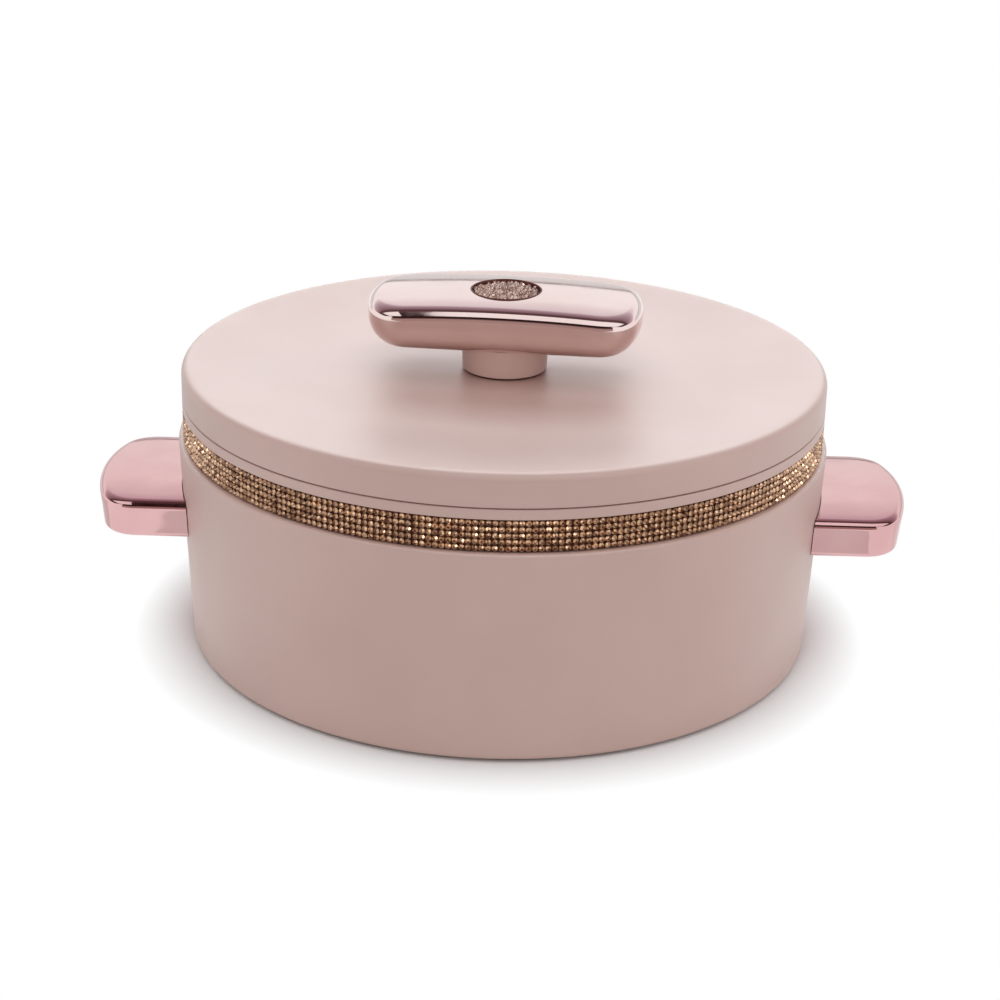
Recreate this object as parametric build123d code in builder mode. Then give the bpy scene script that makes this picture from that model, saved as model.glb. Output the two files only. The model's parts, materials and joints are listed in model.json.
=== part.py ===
from build123d import *

import os

os.makedirs("parts", exist_ok=True)

# Insulated casserole with a lift-off lid, in millimetres.
# +Z is up, +X runs along the side handles, and the origin is the centre of the footprint on the table.

# ---------------------------------------------------------------- driving dimensions
# Rim: the round pieces below and above it take their radii from it
rim_radius = 130.0

# Outer body: a tapering double-walled bucket that stands on rubber feet
body_lift = 0.8
body_wall_height = 85.0
shoulder_overhang = 1.8
body_taper = 3.9
body_wall = 2.6
base_edge_fillet = 2.5
shoulder_fillet = 0.7
floor_recess = 2.8
floor_thickness = 2.6

# Stone band in the recess between shoulder and collar
stone_pitch = 2.43
stone_rows = 5
stone_height = 1.1
stone_girdle_height = 0.37
strip_thickness = 0.5
band_margin = 0.3
neck_wall = 2.4

# Rim collar and inner bowl
collar_thickness = 4.05
collar_fillet = 0.5
collar_skirt_depth = 6.0
collar_skirt_wall = 2.4
rim_width = 22.0
bowl_taper = 7.5
bowl_sheet = 0.8
bowl_corner = 16.0
bowl_flange_width = 5.0
foam_under_bowl = 9.0

# Underside: filler plug, cover plate, screws and feet
filler_radius = 10.0
plug_flange_width = 2.5
plug_flange_thickness = 1.2
base_plate_thickness = 2.0
base_screw_inset = 27.9
base_screw_radius = 1.5
base_screw_head_radius = 3.0
base_screw_head_height = 1.5
base_screw_length = 8.0
base_boss_radius = 4.0
base_boss_height = 6.0
foot_inset = 27.9
foot_radius = 8.0
foot_recess = 0.9
feet_count = 4

# Side handles: plated housings on screw blocks
handle_projection = 33.8
handle_half_width = 38.8
handle_drop = 20.1
handle_thickness = 17.3
handle_draft = 5.0
handle_crown_drop = 1.6
handle_end_radius = 95.0
handle_corner_radius = 15.5
handle_top_fillet = 3.6
handle_bottom_fillet = 2.2
handle_wall = 2.6
handle_screw_offset = 24.0
handle_screw_radius = 2.0
handle_screw_head_radius = 3.8
handle_screw_head_height = 2.6
handle_screw_bite = 15.0
handle_pad_half_width = 33.0
handle_pad_height = 14.0
handle_pad_proud = 1.1
handle_washer_radius = 5.0
handle_washer_thickness = 1.0

# Lid
lid_gap = 0.5
lid_height = 12.7
lid_dish_depth = 3.85
lid_rim_band = 40.0
lid_crest_width = 1.2
lid_edge_fillet = 3.2
lid_crest_fillet = 15.0
lid_dish_fillet = 300.0
lid_wall = 2.4
lid_turn = -4.4
liner_sheet = 0.8
liner_clearance = 1.5
liner_depth = 8.0
liner_corner = 4.0
liner_flange_inset = 3.6
seal_inset = 1.6
seal_width = 6.0
seal_height = 3.3
lid_ring_thickness = 2.4

# Knob: stem, seat ring and bar
stem_radius = 17.5
stem_taper = 0.4
stem_wall = 2.4
stem_boss_radius = 6.0
seat_ring_thickness = 0.8
bar_clearance = 11.95
bar_height = 21.3
bar_half_length = 55.2
bar_half_width = 27.0
bar_end_radius = 60.0
bar_corner_radius = 16.0
bar_cross_crown_radius = 223.0
bar_long_crown_radius = 640.0
bar_top_fillet = 4.5
bar_bottom_fillet = 12.0
bar_side_lip = 2.0
bar_end_lip = 2.7
bar_opening_corner = 6.0
bar_top_wall = 7.6
knob_plate_thickness = 2.4
knob_plate_screw_inset = 9.5
knob_plate_screw_radius = 1.5
knob_plate_screw_head_radius = 2.8
knob_plate_screw_head_height = 1.4
knob_plate_screw_length = 9.0
knob_boss_radius = 4.5
knob_screw_radius = 2.5
knob_screw_head_radius = 4.5
knob_screw_head_height = 3.0
knob_washer_radius = 8.0
knob_washer_thickness = 1.2
insert_radius = 4.0
insert_length = 8.0
insert_boss_radius = 6.5
inlay_radius = 14.3
inlay_depth = 2.2
inlay_cup_wall = 0.5
inlay_cup_floor = 0.6
inlay_crown = 0.5

# Clearances
fit_gap = 0.3
seat_gap = 0.1
screw_gap = 0.1

# ---------------------------------------------------------------- derived levels and radii
shoulder_height = body_lift + body_wall_height
shoulder_radius = rim_radius + shoulder_overhang
base_radius = shoulder_radius - body_taper
floor_height = body_lift + floor_recess
floor_top = floor_height + floor_thickness
ledge_underside = shoulder_height - body_wall
base_screw_circle_radius = base_radius - base_screw_inset
foot_circle_radius = base_radius - foot_inset
plate_underside = floor_height - base_plate_thickness

band_height = stone_rows * stone_pitch
neck_top = shoulder_height + band_height + 2 * band_margin
neck_radius = rim_radius - stone_height - strip_thickness - fit_gap
neck_bore = neck_radius - neck_wall
collar_top = neck_top + collar_thickness
foam_top = neck_top - collar_skirt_depth - fit_gap
bowl_radius = rim_radius - rim_width
bowl_base_radius = bowl_radius - bowl_taper
bowl_floor = floor_top + foam_under_bowl + bowl_sheet
flange_underside = collar_top - bowl_sheet
flange_radius = bowl_radius + bowl_flange_width

lid_skirt_bottom = collar_top + lid_gap
lid_top = lid_skirt_bottom + lid_height
lid_flat = lid_top - lid_dish_depth
lid_ceiling = lid_flat - lid_wall
lid_rim_ceiling = lid_top - lid_wall
lid_bore = rim_radius - lid_wall
lid_crest_radius = rim_radius - lid_edge_fillet - lid_crest_width
lid_dish_radius = rim_radius - lid_rim_band
seal_bottom = collar_top + seat_gap
seal_inner_radius = bowl_radius + seal_inset
seal_outer_radius = seal_inner_radius + seal_width
lid_ring_inner_radius = seal_outer_radius + 2 * fit_gap
liner_radius = bowl_radius - liner_clearance
liner_flange_radius = lid_bore - liner_flange_inset
liner_flange_underside = seal_bottom + seal_height
liner_flange_top = liner_flange_underside + liner_sheet
liner_floor = liner_flange_underside - liner_depth

stem_foot_radius = stem_radius - stem_taper
stem_bottom = lid_flat + seat_ring_thickness
bar_bottom = lid_flat + bar_clearance
bar_top = bar_bottom + bar_height
bar_opening_half_length = bar_half_length - bar_bottom_fillet - bar_end_lip
bar_opening_half_width = bar_half_width - bar_bottom_fillet - bar_side_lip
bar_opening_height = bar_height - bar_top_wall
knob_plate_top = bar_bottom + knob_plate_thickness
knob_plate_screw_offset = bar_opening_half_length - knob_plate_screw_inset
inlay_floor = bar_top - inlay_depth
knob_washer_underside = lid_ceiling - knob_washer_thickness
knob_screw_underside = knob_washer_underside - knob_screw_head_height

# The knob bar stands a few degrees off the line of the side handles, as the lid was put down.
knob_plane = Plane.XY.rotated((0, 0, lid_turn))
bar_underside = Plane(origin=(0, 0, bar_bottom), x_dir=knob_plane.x_dir, z_dir=(0, 0, -1))


def body_radius(height):
    """Outside radius of the tapering body at a height."""
    taper = (shoulder_radius - base_radius) / (shoulder_height - body_lift)
    return base_radius + taper * (height - body_lift)


def bore_radius(height):
    """Inside radius of the tapering body wall at a height."""
    return body_radius(height) - body_wall


handle_reach = shoulder_radius + handle_projection
handle_top = shoulder_height - handle_drop
handle_bottom = handle_top - handle_thickness
handle_core_bottom = handle_bottom + handle_wall + fit_gap
handle_core_top = handle_top - handle_crown_drop - handle_wall - fit_gap
handle_screw_height = handle_top - handle_thickness / 2
handle_screw_tip = body_radius(handle_screw_height) + handle_screw_bite

# The pad behind each handle is a chord across the bore, wide enough for both screws.
pad_chord = (bore_radius(handle_screw_height) ** 2 - handle_pad_half_width**2) ** 0.5
handle_pad_face = pad_chord - handle_pad_proud
washer_face = handle_pad_face - handle_washer_thickness
handle_screw_places = [(side * handle_screw_offset, handle_screw_height) for side in (1, -1)]


def turned(*points):
    """Revolve a closed outline of (radius, height) points about Z in the current part."""
    with BuildSketch(Plane.XZ) as section:
        with BuildLine():
            Polyline(*points, close=True)
        make_face()
    revolve(section.sketch, axis=Axis.Z)


def disc(radius, bottom, top, mode=Mode.ADD):
    """Add or cut a round disc about Z between two heights in the current part."""
    with BuildSketch(Plane.XY.offset(bottom)) as section:
        Circle(radius)
    extrude(section.sketch, amount=top - bottom, mode=mode)


def bowed_tab(level, reach, half_width, end_radius, corner_radius, start):
    """Sketch at a level: a tab from x = start to a bowed end at x = reach, with round outer corners."""
    bow = end_radius - (end_radius**2 - half_width**2) ** 0.5
    with BuildSketch(Plane.XY.offset(level)) as tab:
        with BuildLine():
            side = Line((start, -half_width), (reach - bow, -half_width))
            end = ThreePointArc(side @ 1, (reach, 0), (reach - bow, half_width))
            Line(end @ 1, (start, half_width))
            Line((start, half_width), (start, -half_width))
        make_face()
        fillet(tab.vertices().group_by(Axis.X)[-1], corner_radius)
    return tab.sketch


# ---------------------------------------------------------------- body
# Space inside the tapering wall, less the flat pads that the handle screws pull against.
with BuildPart() as body_cavity:
    turned(
        (0, floor_top),
        (bore_radius(floor_top), floor_top),
        (bore_radius(ledge_underside), ledge_underside),
        (neck_bore, ledge_underside),
        (neck_bore, neck_top),
        (0, neck_top),
    )
    for side in (1, -1):
        with BuildSketch(Plane.YZ.offset(side * handle_pad_face)):
            with Locations((0, handle_screw_height)):
                Rectangle(2 * handle_pad_half_width, handle_pad_height)
        extrude(amount=side * base_radius, mode=Mode.SUBTRACT)
    with BuildSketch(Plane.XY.offset(floor_top)):
        with PolarLocations(base_screw_circle_radius, feet_count):
            Circle(base_boss_radius)
    extrude(amount=base_boss_height, mode=Mode.SUBTRACT)

with BuildPart() as outer_body:
    with BuildSketch(Plane.XZ) as body_section:
        with BuildLine():
            Polyline(
                (0, body_lift),
                (base_radius, body_lift),
                (shoulder_radius, shoulder_height),
                (neck_radius, shoulder_height),
                (neck_radius, neck_top),
                (0, neck_top),
                close=True,
            )
        make_face()
        fillet(body_section.vertices().sort_by(Axis.X)[-1], shoulder_fillet)
        fillet(body_section.vertices().sort_by_distance((base_radius, body_lift))[0], base_edge_fillet)
    revolve(axis=Axis.Z)
    add(body_cavity.part, mode=Mode.SUBTRACT)
    disc(base_radius - body_wall, body_lift, floor_height, mode=Mode.SUBTRACT)
    # filling hole with a counterbore for the plug's flange
    disc(filler_radius, floor_height, floor_top, mode=Mode.SUBTRACT)
    disc(
        filler_radius + plug_flange_width,
        floor_height,
        floor_height + plug_flange_thickness,
        mode=Mode.SUBTRACT,
    )
    # blind holes for the cover screws
    with BuildSketch(Plane.XY.offset(floor_height)):
        with PolarLocations(base_screw_circle_radius, feet_count):
            Circle(base_screw_radius + screw_gap)
    extrude(amount=base_screw_length, mode=Mode.SUBTRACT)
    # clear holes for the handle screws
    for side in (1, -1):
        with BuildSketch(Plane.YZ.offset(side * handle_pad_face)):
            with Locations(*handle_screw_places):
                Circle(handle_screw_radius + screw_gap)
        extrude(amount=side * base_radius, mode=Mode.SUBTRACT)
outer_body.part.label = "outer_body"

with BuildPart() as foam_plug:
    disc(filler_radius + plug_flange_width - fit_gap, floor_height, floor_height + plug_flange_thickness)
    disc(filler_radius - fit_gap, floor_height + plug_flange_thickness, floor_top)
foam_plug.part.label = "foam_plug"

with BuildPart() as base_plate:
    disc(base_radius - body_wall - fit_gap, plate_underside, floor_height)
    with BuildSketch(Plane.XY.offset(plate_underside)):
        with PolarLocations(foot_circle_radius, feet_count, start_angle=180 / feet_count):
            Circle(foot_radius + screw_gap)
    extrude(amount=foot_recess, mode=Mode.SUBTRACT)
    with Locations(Plane.XY.offset(plate_underside).rotated((180, 0, 0))):
        with PolarLocations(base_screw_circle_radius, feet_count):
            CounterSinkHole(base_screw_radius + screw_gap, base_screw_head_radius + screw_gap)
base_plate.part.label = "base_plate"

with BuildPart() as rubber_feet:
    with BuildSketch(Plane.XY):
        with PolarLocations(foot_circle_radius, feet_count, start_angle=180 / feet_count):
            Circle(foot_radius)
    extrude(amount=plate_underside + foot_recess)
rubber_feet.part.label = "rubber_feet"

with BuildPart() as base_screws:
    with PolarLocations(base_screw_circle_radius, feet_count):
        with Locations((0, 0, plate_underside)):
            Cone(
                base_screw_head_radius,
                base_screw_radius,
                base_screw_head_height,
                align=(Align.CENTER, Align.CENTER, Align.MIN),
            )
        with Locations((0, 0, plate_underside + base_screw_head_height)):
            Cylinder(
                base_screw_radius,
                base_screw_length - base_screw_head_height,
                align=(Align.CENTER, Align.CENTER, Align.MIN),
            )
base_screws.part.label = "base_screws"


def bowl_section(radius, base, flange, floor, rim, corner):
    """Solid of the space inside a bowl outline: floor, round corner, tapering wall up to a rim height."""
    with BuildPart() as bowl:
        with BuildSketch(Plane.XZ) as section:
            with BuildLine():
                Polyline((0, floor), (base, floor), (radius, rim), (0, rim), close=True)
            make_face()
            fillet(section.vertices().sort_by_distance((base, floor))[0], corner)
        revolve(axis=Axis.Z)
        if flange:
            disc(flange, rim - bowl_sheet, rim)
    return bowl.part


bowl_inside = bowl_section(bowl_radius, bowl_base_radius, 0, bowl_floor, collar_top, bowl_corner)
bowl_outside = bowl_section(
    bowl_radius + bowl_sheet,
    bowl_base_radius + bowl_sheet,
    flange_radius,
    bowl_floor - bowl_sheet,
    collar_top,
    bowl_corner + bowl_sheet,
)
bowl_space = bowl_section(
    bowl_radius + bowl_sheet + fit_gap,
    bowl_base_radius + bowl_sheet + fit_gap,
    0,
    bowl_floor - bowl_sheet - fit_gap,
    collar_top,
    bowl_corner + bowl_sheet + fit_gap,
)

with BuildPart() as inner_bowl:
    add(bowl_outside)
    add(bowl_inside, mode=Mode.SUBTRACT)
inner_bowl.part.label = "inner_bowl"

with BuildPart() as body_insulation:
    turned(
        (0, floor_top + fit_gap),
        (bore_radius(floor_top) - fit_gap, floor_top + fit_gap),
        (bore_radius(ledge_underside) - fit_gap, ledge_underside - fit_gap),
        (neck_bore - fit_gap, ledge_underside - fit_gap),
        (neck_bore - fit_gap, foam_top),
        (0, foam_top),
    )
    add(bowl_space, mode=Mode.SUBTRACT)
    # pockets round the screw bosses and behind the handle pads
    with BuildSketch(Plane.XY.offset(floor_top)):
        with PolarLocations(base_screw_circle_radius, feet_count):
            Circle(base_boss_radius + fit_gap)
    extrude(amount=base_boss_height + fit_gap, mode=Mode.SUBTRACT)
    for side in (1, -1):
        with BuildSketch(Plane.YZ.offset(side * (washer_face - handle_screw_head_height - fit_gap))):
            with Locations((0, handle_screw_height)):
                Rectangle(2 * (handle_pad_half_width + fit_gap), handle_pad_height + 2 * fit_gap)
        extrude(amount=side * base_radius, mode=Mode.SUBTRACT)
body_insulation.part.label = "body_insulation"

with BuildPart() as rim_collar:
    with BuildSketch(Plane.XZ) as collar_section:
        with BuildLine():
            Polyline(
                (rim_radius, neck_top),
                (rim_radius, collar_top),
                (flange_radius + fit_gap, collar_top),
                (flange_radius + fit_gap, flange_underside),
                (bowl_radius + bowl_sheet + fit_gap, flange_underside),
                (bowl_radius + bowl_sheet + fit_gap, neck_top),
                (neck_bore - fit_gap - collar_skirt_wall, neck_top),
                (neck_bore - fit_gap - collar_skirt_wall, neck_top - collar_skirt_depth),
                (neck_bore - fit_gap, neck_top - collar_skirt_depth),
                (neck_bore - fit_gap, neck_top),
                close=True,
            )
        make_face()
        fillet(collar_section.vertices().group_by(Axis.X)[-1], collar_fillet)
    revolve(axis=Axis.Z)
rim_collar.part.label = "rim_collar"

# The stones' mesh strip, and the stones as one ridged ring: each ridge is one row.
with BuildPart() as band_strip:
    turned(
        (neck_radius + fit_gap, shoulder_height + band_margin),
        (neck_radius + fit_gap + strip_thickness, shoulder_height + band_margin),
        (neck_radius + fit_gap + strip_thickness, neck_top - band_margin),
        (neck_radius + fit_gap, neck_top - band_margin),
    )
band_strip.part.label = "band_strip"

with BuildPart() as stone_band:
    stone_seat = neck_radius + fit_gap + strip_thickness
    stone_girdle = stone_seat + stone_girdle_height
    ridge_points = []
    for row in range(stone_rows):
        row_bottom = shoulder_height + band_margin + row * stone_pitch
        ridge_points.append((stone_girdle, row_bottom))
        ridge_points.append((stone_seat + stone_height, row_bottom + stone_pitch / 2))
    ridge_points.append((stone_girdle, neck_top - band_margin))
    turned(
        (stone_seat, shoulder_height + band_margin),
        *ridge_points,
        (stone_seat, neck_top - band_margin),
    )
stone_band.part.label = "stone_band"

# ---------------------------------------------------------------- side handles
# Cone that the handles stand against, a fit gap outside the body.
with BuildPart() as body_envelope:
    turned(
        (0, body_lift),
        (base_radius + fit_gap, body_lift),
        (shoulder_radius + fit_gap, shoulder_height),
        (0, shoulder_height),
    )

handle_crown_radius = handle_half_width**2 / (2 * handle_crown_drop)

with BuildPart() as handle_shell_right:
    handle_plan = bowed_tab(
        handle_top,
        handle_reach,
        handle_half_width,
        handle_end_radius,
        handle_corner_radius,
        handle_pad_face,
    )
    extrude(handle_plan, amount=-handle_thickness, taper=handle_draft)
    with BuildSketch(Plane.YZ) as crown_section:
        with Locations((0, handle_top - handle_crown_radius)):
            Circle(handle_crown_radius)
    extrude(amount=handle_reach, mode=Mode.INTERSECT)
    fillet(handle_shell_right.faces().sort_by(Axis.Z)[-1].edges(), handle_top_fillet)
    fillet(handle_shell_right.faces().sort_by(Axis.Z)[0].edges(), handle_bottom_fillet)
    # cavity open towards the body
    cavity_plan = bowed_tab(
        handle_core_bottom - fit_gap,
        handle_reach - 2 * handle_wall,
        handle_half_width - 2 * handle_wall,
        handle_end_radius,
        handle_corner_radius - handle_wall,
        0,
    )
    extrude(cavity_plan, amount=handle_core_top - handle_core_bottom + 2 * fit_gap, mode=Mode.SUBTRACT)
    add(body_envelope.part, mode=Mode.SUBTRACT)
handle_shell_right.part.label = "handle_shell_right"

with BuildPart() as handle_core_right:
    core_plan = bowed_tab(
        handle_core_bottom,
        handle_reach - 2 * handle_wall - fit_gap,
        handle_half_width - 2 * handle_wall - fit_gap,
        handle_end_radius,
        handle_corner_radius - handle_wall,
        handle_pad_face,
    )
    extrude(core_plan, amount=handle_core_top - handle_core_bottom)
    add(body_envelope.part, mode=Mode.SUBTRACT)
    with BuildSketch(Plane.YZ):
        with Locations(*handle_screw_places):
            Circle(handle_screw_radius + screw_gap)
    extrude(amount=handle_screw_tip, mode=Mode.SUBTRACT)
handle_core_right.part.label = "handle_core_right"

with BuildPart() as handle_washers_right:
    with BuildSketch(Plane.YZ.offset(washer_face)):
        with Locations(*handle_screw_places):
            Circle(handle_washer_radius)
            Circle(handle_screw_radius + screw_gap, mode=Mode.SUBTRACT)
    extrude(amount=handle_washer_thickness)
handle_washers_right.part.label = "handle_washers_right"

with BuildPart() as handle_screws_right:
    with BuildSketch(Plane.YZ.offset(washer_face - handle_screw_head_height)):
        with Locations(*handle_screw_places):
            Circle(handle_screw_head_radius)
    extrude(amount=handle_screw_head_height)
    with BuildSketch(Plane.YZ.offset(washer_face)):
        with Locations(*handle_screw_places):
            Circle(handle_screw_radius)
    extrude(amount=handle_screw_tip - washer_face)
handle_screws_right.part.label = "handle_screws_right"

with BuildPart() as handle_shell_left:
    add(mirror(handle_shell_right.part, about=Plane.YZ, mode=Mode.PRIVATE))
handle_shell_left.part.label = "handle_shell_left"

with BuildPart() as handle_core_left:
    add(mirror(handle_core_right.part, about=Plane.YZ, mode=Mode.PRIVATE))
handle_core_left.part.label = "handle_core_left"

with BuildPart() as handle_washers_left:
    add(mirror(handle_washers_right.part, about=Plane.YZ, mode=Mode.PRIVATE))
handle_washers_left.part.label = "handle_washers_left"

with BuildPart() as handle_screws_left:
    add(mirror(handle_screws_right.part, about=Plane.YZ, mode=Mode.PRIVATE))
handle_screws_left.part.label = "handle_screws_left"

# ---------------------------------------------------------------- lid
with BuildPart() as lid_cover:
    with BuildSketch(Plane.XZ) as cover_section:
        with BuildLine():
            Polyline(
                (0, lid_ceiling),
                (lid_dish_radius, lid_ceiling),
                (lid_crest_radius, lid_rim_ceiling),
                (lid_bore, lid_rim_ceiling),
                (lid_bore, lid_skirt_bottom),
                (rim_radius, lid_skirt_bottom),
                (rim_radius, lid_top),
                (lid_crest_radius, lid_top),
                (lid_dish_radius, lid_flat),
                (0, lid_flat),
                close=True,
            )
        make_face()
        rim_edge = cover_section.vertices().sort_by_distance((rim_radius, lid_top))[0]
        rim_crest = cover_section.vertices().sort_by_distance((lid_crest_radius, lid_top))[0]
        dish_edge = cover_section.vertices().sort_by_distance((lid_dish_radius, lid_flat))[0]
        fillet(rim_edge, lid_edge_fillet)
        fillet(rim_crest, lid_crest_fillet)
        fillet(dish_edge, lid_dish_fillet)
    revolve(axis=Axis.Z)
    disc(knob_screw_radius + screw_gap, lid_ceiling, lid_flat, mode=Mode.SUBTRACT)
lid_cover.part.label = "lid_cover"

with BuildPart() as lid_liner:
    with BuildSketch(Plane.XZ) as liner_section:
        with BuildLine():
            Polyline(
                (0, liner_floor),
                (liner_radius, liner_floor),
                (liner_radius, liner_flange_underside),
                (liner_flange_radius, liner_flange_underside),
                (liner_flange_radius, liner_flange_top),
                (liner_radius - liner_sheet, liner_flange_top),
                (liner_radius - liner_sheet, liner_floor + liner_sheet),
                (0, liner_floor + liner_sheet),
                close=True,
            )
        make_face()
        outer_corner = liner_section.vertices().sort_by_distance((liner_radius, liner_floor))[0]
        inner_corner = liner_section.vertices().sort_by_distance(
            (liner_radius - liner_sheet, liner_floor + liner_sheet)
        )[0]
        fillet(outer_corner, liner_corner + liner_sheet)
        fillet(inner_corner, liner_corner)
    revolve(axis=Axis.Z)
lid_liner.part.label = "lid_liner"

with BuildPart() as lid_ring:
    turned(
        (lid_ring_inner_radius, liner_flange_underside - lid_ring_thickness),
        (lid_bore - fit_gap, liner_flange_underside - lid_ring_thickness),
        (lid_bore - fit_gap, liner_flange_underside),
        (lid_ring_inner_radius, liner_flange_underside),
    )
lid_ring.part.label = "lid_ring"

with BuildPart() as lid_seal:
    turned(
        (seal_inner_radius, seal_bottom),
        (seal_outer_radius, seal_bottom),
        (seal_outer_radius, seal_bottom + seal_height),
        (seal_inner_radius, seal_bottom + seal_height),
    )
lid_seal.part.label = "lid_seal"

with BuildPart() as lid_insulation:
    with BuildSketch(Plane.XZ) as foam_section:
        with BuildLine():
            Polyline(
                (0, liner_floor + liner_sheet + fit_gap),
                (liner_radius - liner_sheet - fit_gap, liner_floor + liner_sheet + fit_gap),
                (liner_radius - liner_sheet - fit_gap, liner_flange_top + fit_gap),
                (lid_bore - fit_gap, liner_flange_top + fit_gap),
                (lid_bore - fit_gap, lid_rim_ceiling - fit_gap),
                (lid_crest_radius, lid_rim_ceiling - fit_gap),
                (lid_dish_radius, lid_ceiling - fit_gap),
                (0, lid_ceiling - fit_gap),
                close=True,
            )
        make_face()
        fillet(foam_section.vertices().sort_by_distance((liner_radius, liner_floor))[0], liner_corner)
    revolve(axis=Axis.Z)
    disc(knob_washer_radius + fit_gap, knob_screw_underside - fit_gap, lid_ceiling, mode=Mode.SUBTRACT)
lid_insulation.part.label = "lid_insulation"

# ---------------------------------------------------------------- knob
with BuildPart() as knob_seat_ring:
    turned(
        (stem_foot_radius - stem_wall, lid_flat),
        (stem_foot_radius - seat_ring_thickness, lid_flat),
        (stem_foot_radius - seat_ring_thickness, stem_bottom),
        (stem_foot_radius - stem_wall, stem_bottom),
    )
knob_seat_ring.part.label = "knob_seat_ring"

with BuildPart() as knob_stem:
    turned(
        (stem_foot_radius - stem_wall, stem_bottom),
        (stem_foot_radius, stem_bottom),
        (stem_radius, bar_bottom),
        (knob_screw_radius + screw_gap, bar_bottom),
        (knob_screw_radius + screw_gap, stem_bottom),
        (stem_boss_radius, stem_bottom),
        (stem_boss_radius, bar_bottom - stem_wall),
        (stem_radius - stem_wall, bar_bottom - stem_wall),
    )
knob_stem.part.label = "knob_stem"

# Wheel-shaped solid whose rim is the doubly curved crown of the bar.
with BuildPart() as bar_crown:
    with BuildSketch(Plane.YZ):
        with BuildLine():
            crown_half = 2 * bar_half_width
            crown_drop = bar_cross_crown_radius - (bar_cross_crown_radius**2 - crown_half**2) ** 0.5
            crown_edge = bar_top - crown_drop
            arc = ThreePointArc((-crown_half, crown_edge), (0, bar_top), (crown_half, crown_edge))
            Polyline(arc @ 1, (crown_half, 0), (-crown_half, 0), arc @ 0)
        make_face()
    revolve(axis=Axis((0, 0, bar_top - bar_long_crown_radius), (0, 1, 0)))

with BuildPart() as knob_shell:
    with BuildSketch(knob_plane.offset(bar_bottom)):
        with BuildLine():
            bow = bar_end_radius - (bar_end_radius**2 - bar_half_width**2) ** 0.5
            corner_x = bar_half_length - bow
            front = Line((-corner_x, -bar_half_width), (corner_x, -bar_half_width))
            ThreePointArc(front @ 1, (bar_half_length, 0), (corner_x, bar_half_width))
            back = Line((corner_x, bar_half_width), (-corner_x, bar_half_width))
            ThreePointArc(back @ 1, (-bar_half_length, 0), front @ 0)
        make_face()
        fillet(vertices(), bar_corner_radius)
    extrude(amount=bar_top - bar_bottom)
    add(bar_crown.part.rotate(Axis.Z, lid_turn), mode=Mode.INTERSECT)
    fillet(knob_shell.faces().sort_by(Axis.Z)[-1].edges(), bar_top_fillet)
    fillet(knob_shell.faces().sort_by(Axis.Z)[0].edges(), bar_bottom_fillet)
    # opening underneath, closed by the bottom plate
    with BuildSketch(knob_plane.offset(bar_bottom)):
        RectangleRounded(2 * bar_opening_half_length, 2 * bar_opening_half_width, bar_opening_corner)
    extrude(amount=bar_opening_height, mode=Mode.SUBTRACT)
    # bosses for the plate screws
    with BuildSketch(knob_plane.offset(knob_plate_top)):
        with Locations((knob_plate_screw_offset, 0), (-knob_plate_screw_offset, 0)):
            Circle(knob_boss_radius)
    extrude(amount=bar_opening_height - knob_plate_thickness)
    with BuildSketch(knob_plane.offset(knob_plate_top)):
        with Locations((knob_plate_screw_offset, 0), (-knob_plate_screw_offset, 0)):
            Circle(knob_plate_screw_radius + screw_gap)
    extrude(amount=knob_plate_screw_length, mode=Mode.SUBTRACT)
    # round seat for the inlay
    with BuildSketch(knob_plane.offset(inlay_floor)):
        Circle(inlay_radius + screw_gap)
    extrude(amount=2 * inlay_depth, mode=Mode.SUBTRACT)
knob_shell.part.label = "knob_shell"

with BuildPart() as knob_plate:
    with BuildSketch(knob_plane.offset(bar_bottom)):
        RectangleRounded(
            2 * (bar_opening_half_length - fit_gap),
            2 * (bar_opening_half_width - fit_gap),
            bar_opening_corner - fit_gap,
        )
    extrude(amount=knob_plate_thickness)
    with BuildSketch(knob_plane.offset(knob_plate_top)):
        Circle(insert_boss_radius)
    extrude(amount=insert_length)
    with BuildSketch(knob_plane.offset(bar_bottom)):
        Circle(knob_screw_radius + screw_gap)
    extrude(amount=knob_plate_thickness, mode=Mode.SUBTRACT)
    with BuildSketch(knob_plane.offset(knob_plate_top)):
        Circle(insert_radius + screw_gap)
    extrude(amount=insert_length, mode=Mode.SUBTRACT)
    with Locations(bar_underside):
        with Locations((knob_plate_screw_offset, 0), (-knob_plate_screw_offset, 0)):
            CounterBoreHole(
                knob_plate_screw_radius + screw_gap,
                knob_plate_screw_head_radius + screw_gap,
                knob_plate_screw_head_height,
            )
knob_plate.part.label = "knob_plate"

with BuildPart() as knob_plate_screws:
    with BuildSketch(knob_plane.offset(bar_bottom)):
        with Locations((knob_plate_screw_offset, 0), (-knob_plate_screw_offset, 0)):
            Circle(knob_plate_screw_head_radius)
    extrude(amount=knob_plate_screw_head_height)
    with BuildSketch(knob_plane.offset(bar_bottom + knob_plate_screw_head_height)):
        with Locations((knob_plate_screw_offset, 0), (-knob_plate_screw_offset, 0)):
            Circle(knob_plate_screw_radius)
    extrude(amount=knob_plate_screw_length)
knob_plate_screws.part.label = "knob_plate_screws"

with BuildPart() as knob_insert:
    disc(insert_radius, knob_plate_top, knob_plate_top + insert_length)
    disc(knob_screw_radius + screw_gap, knob_plate_top, knob_plate_top + insert_length, mode=Mode.SUBTRACT)
knob_insert.part.label = "knob_insert"

with BuildPart() as knob_washer:
    disc(knob_washer_radius, knob_washer_underside, lid_ceiling)
    disc(knob_screw_radius + screw_gap, knob_washer_underside, lid_ceiling, mode=Mode.SUBTRACT)
knob_washer.part.label = "knob_washer"

with BuildPart() as knob_screw:
    disc(knob_screw_head_radius, knob_screw_underside, knob_washer_underside)
    disc(knob_screw_radius, knob_washer_underside, knob_plate_top + insert_length)
knob_screw.part.label = "knob_screw"

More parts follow.
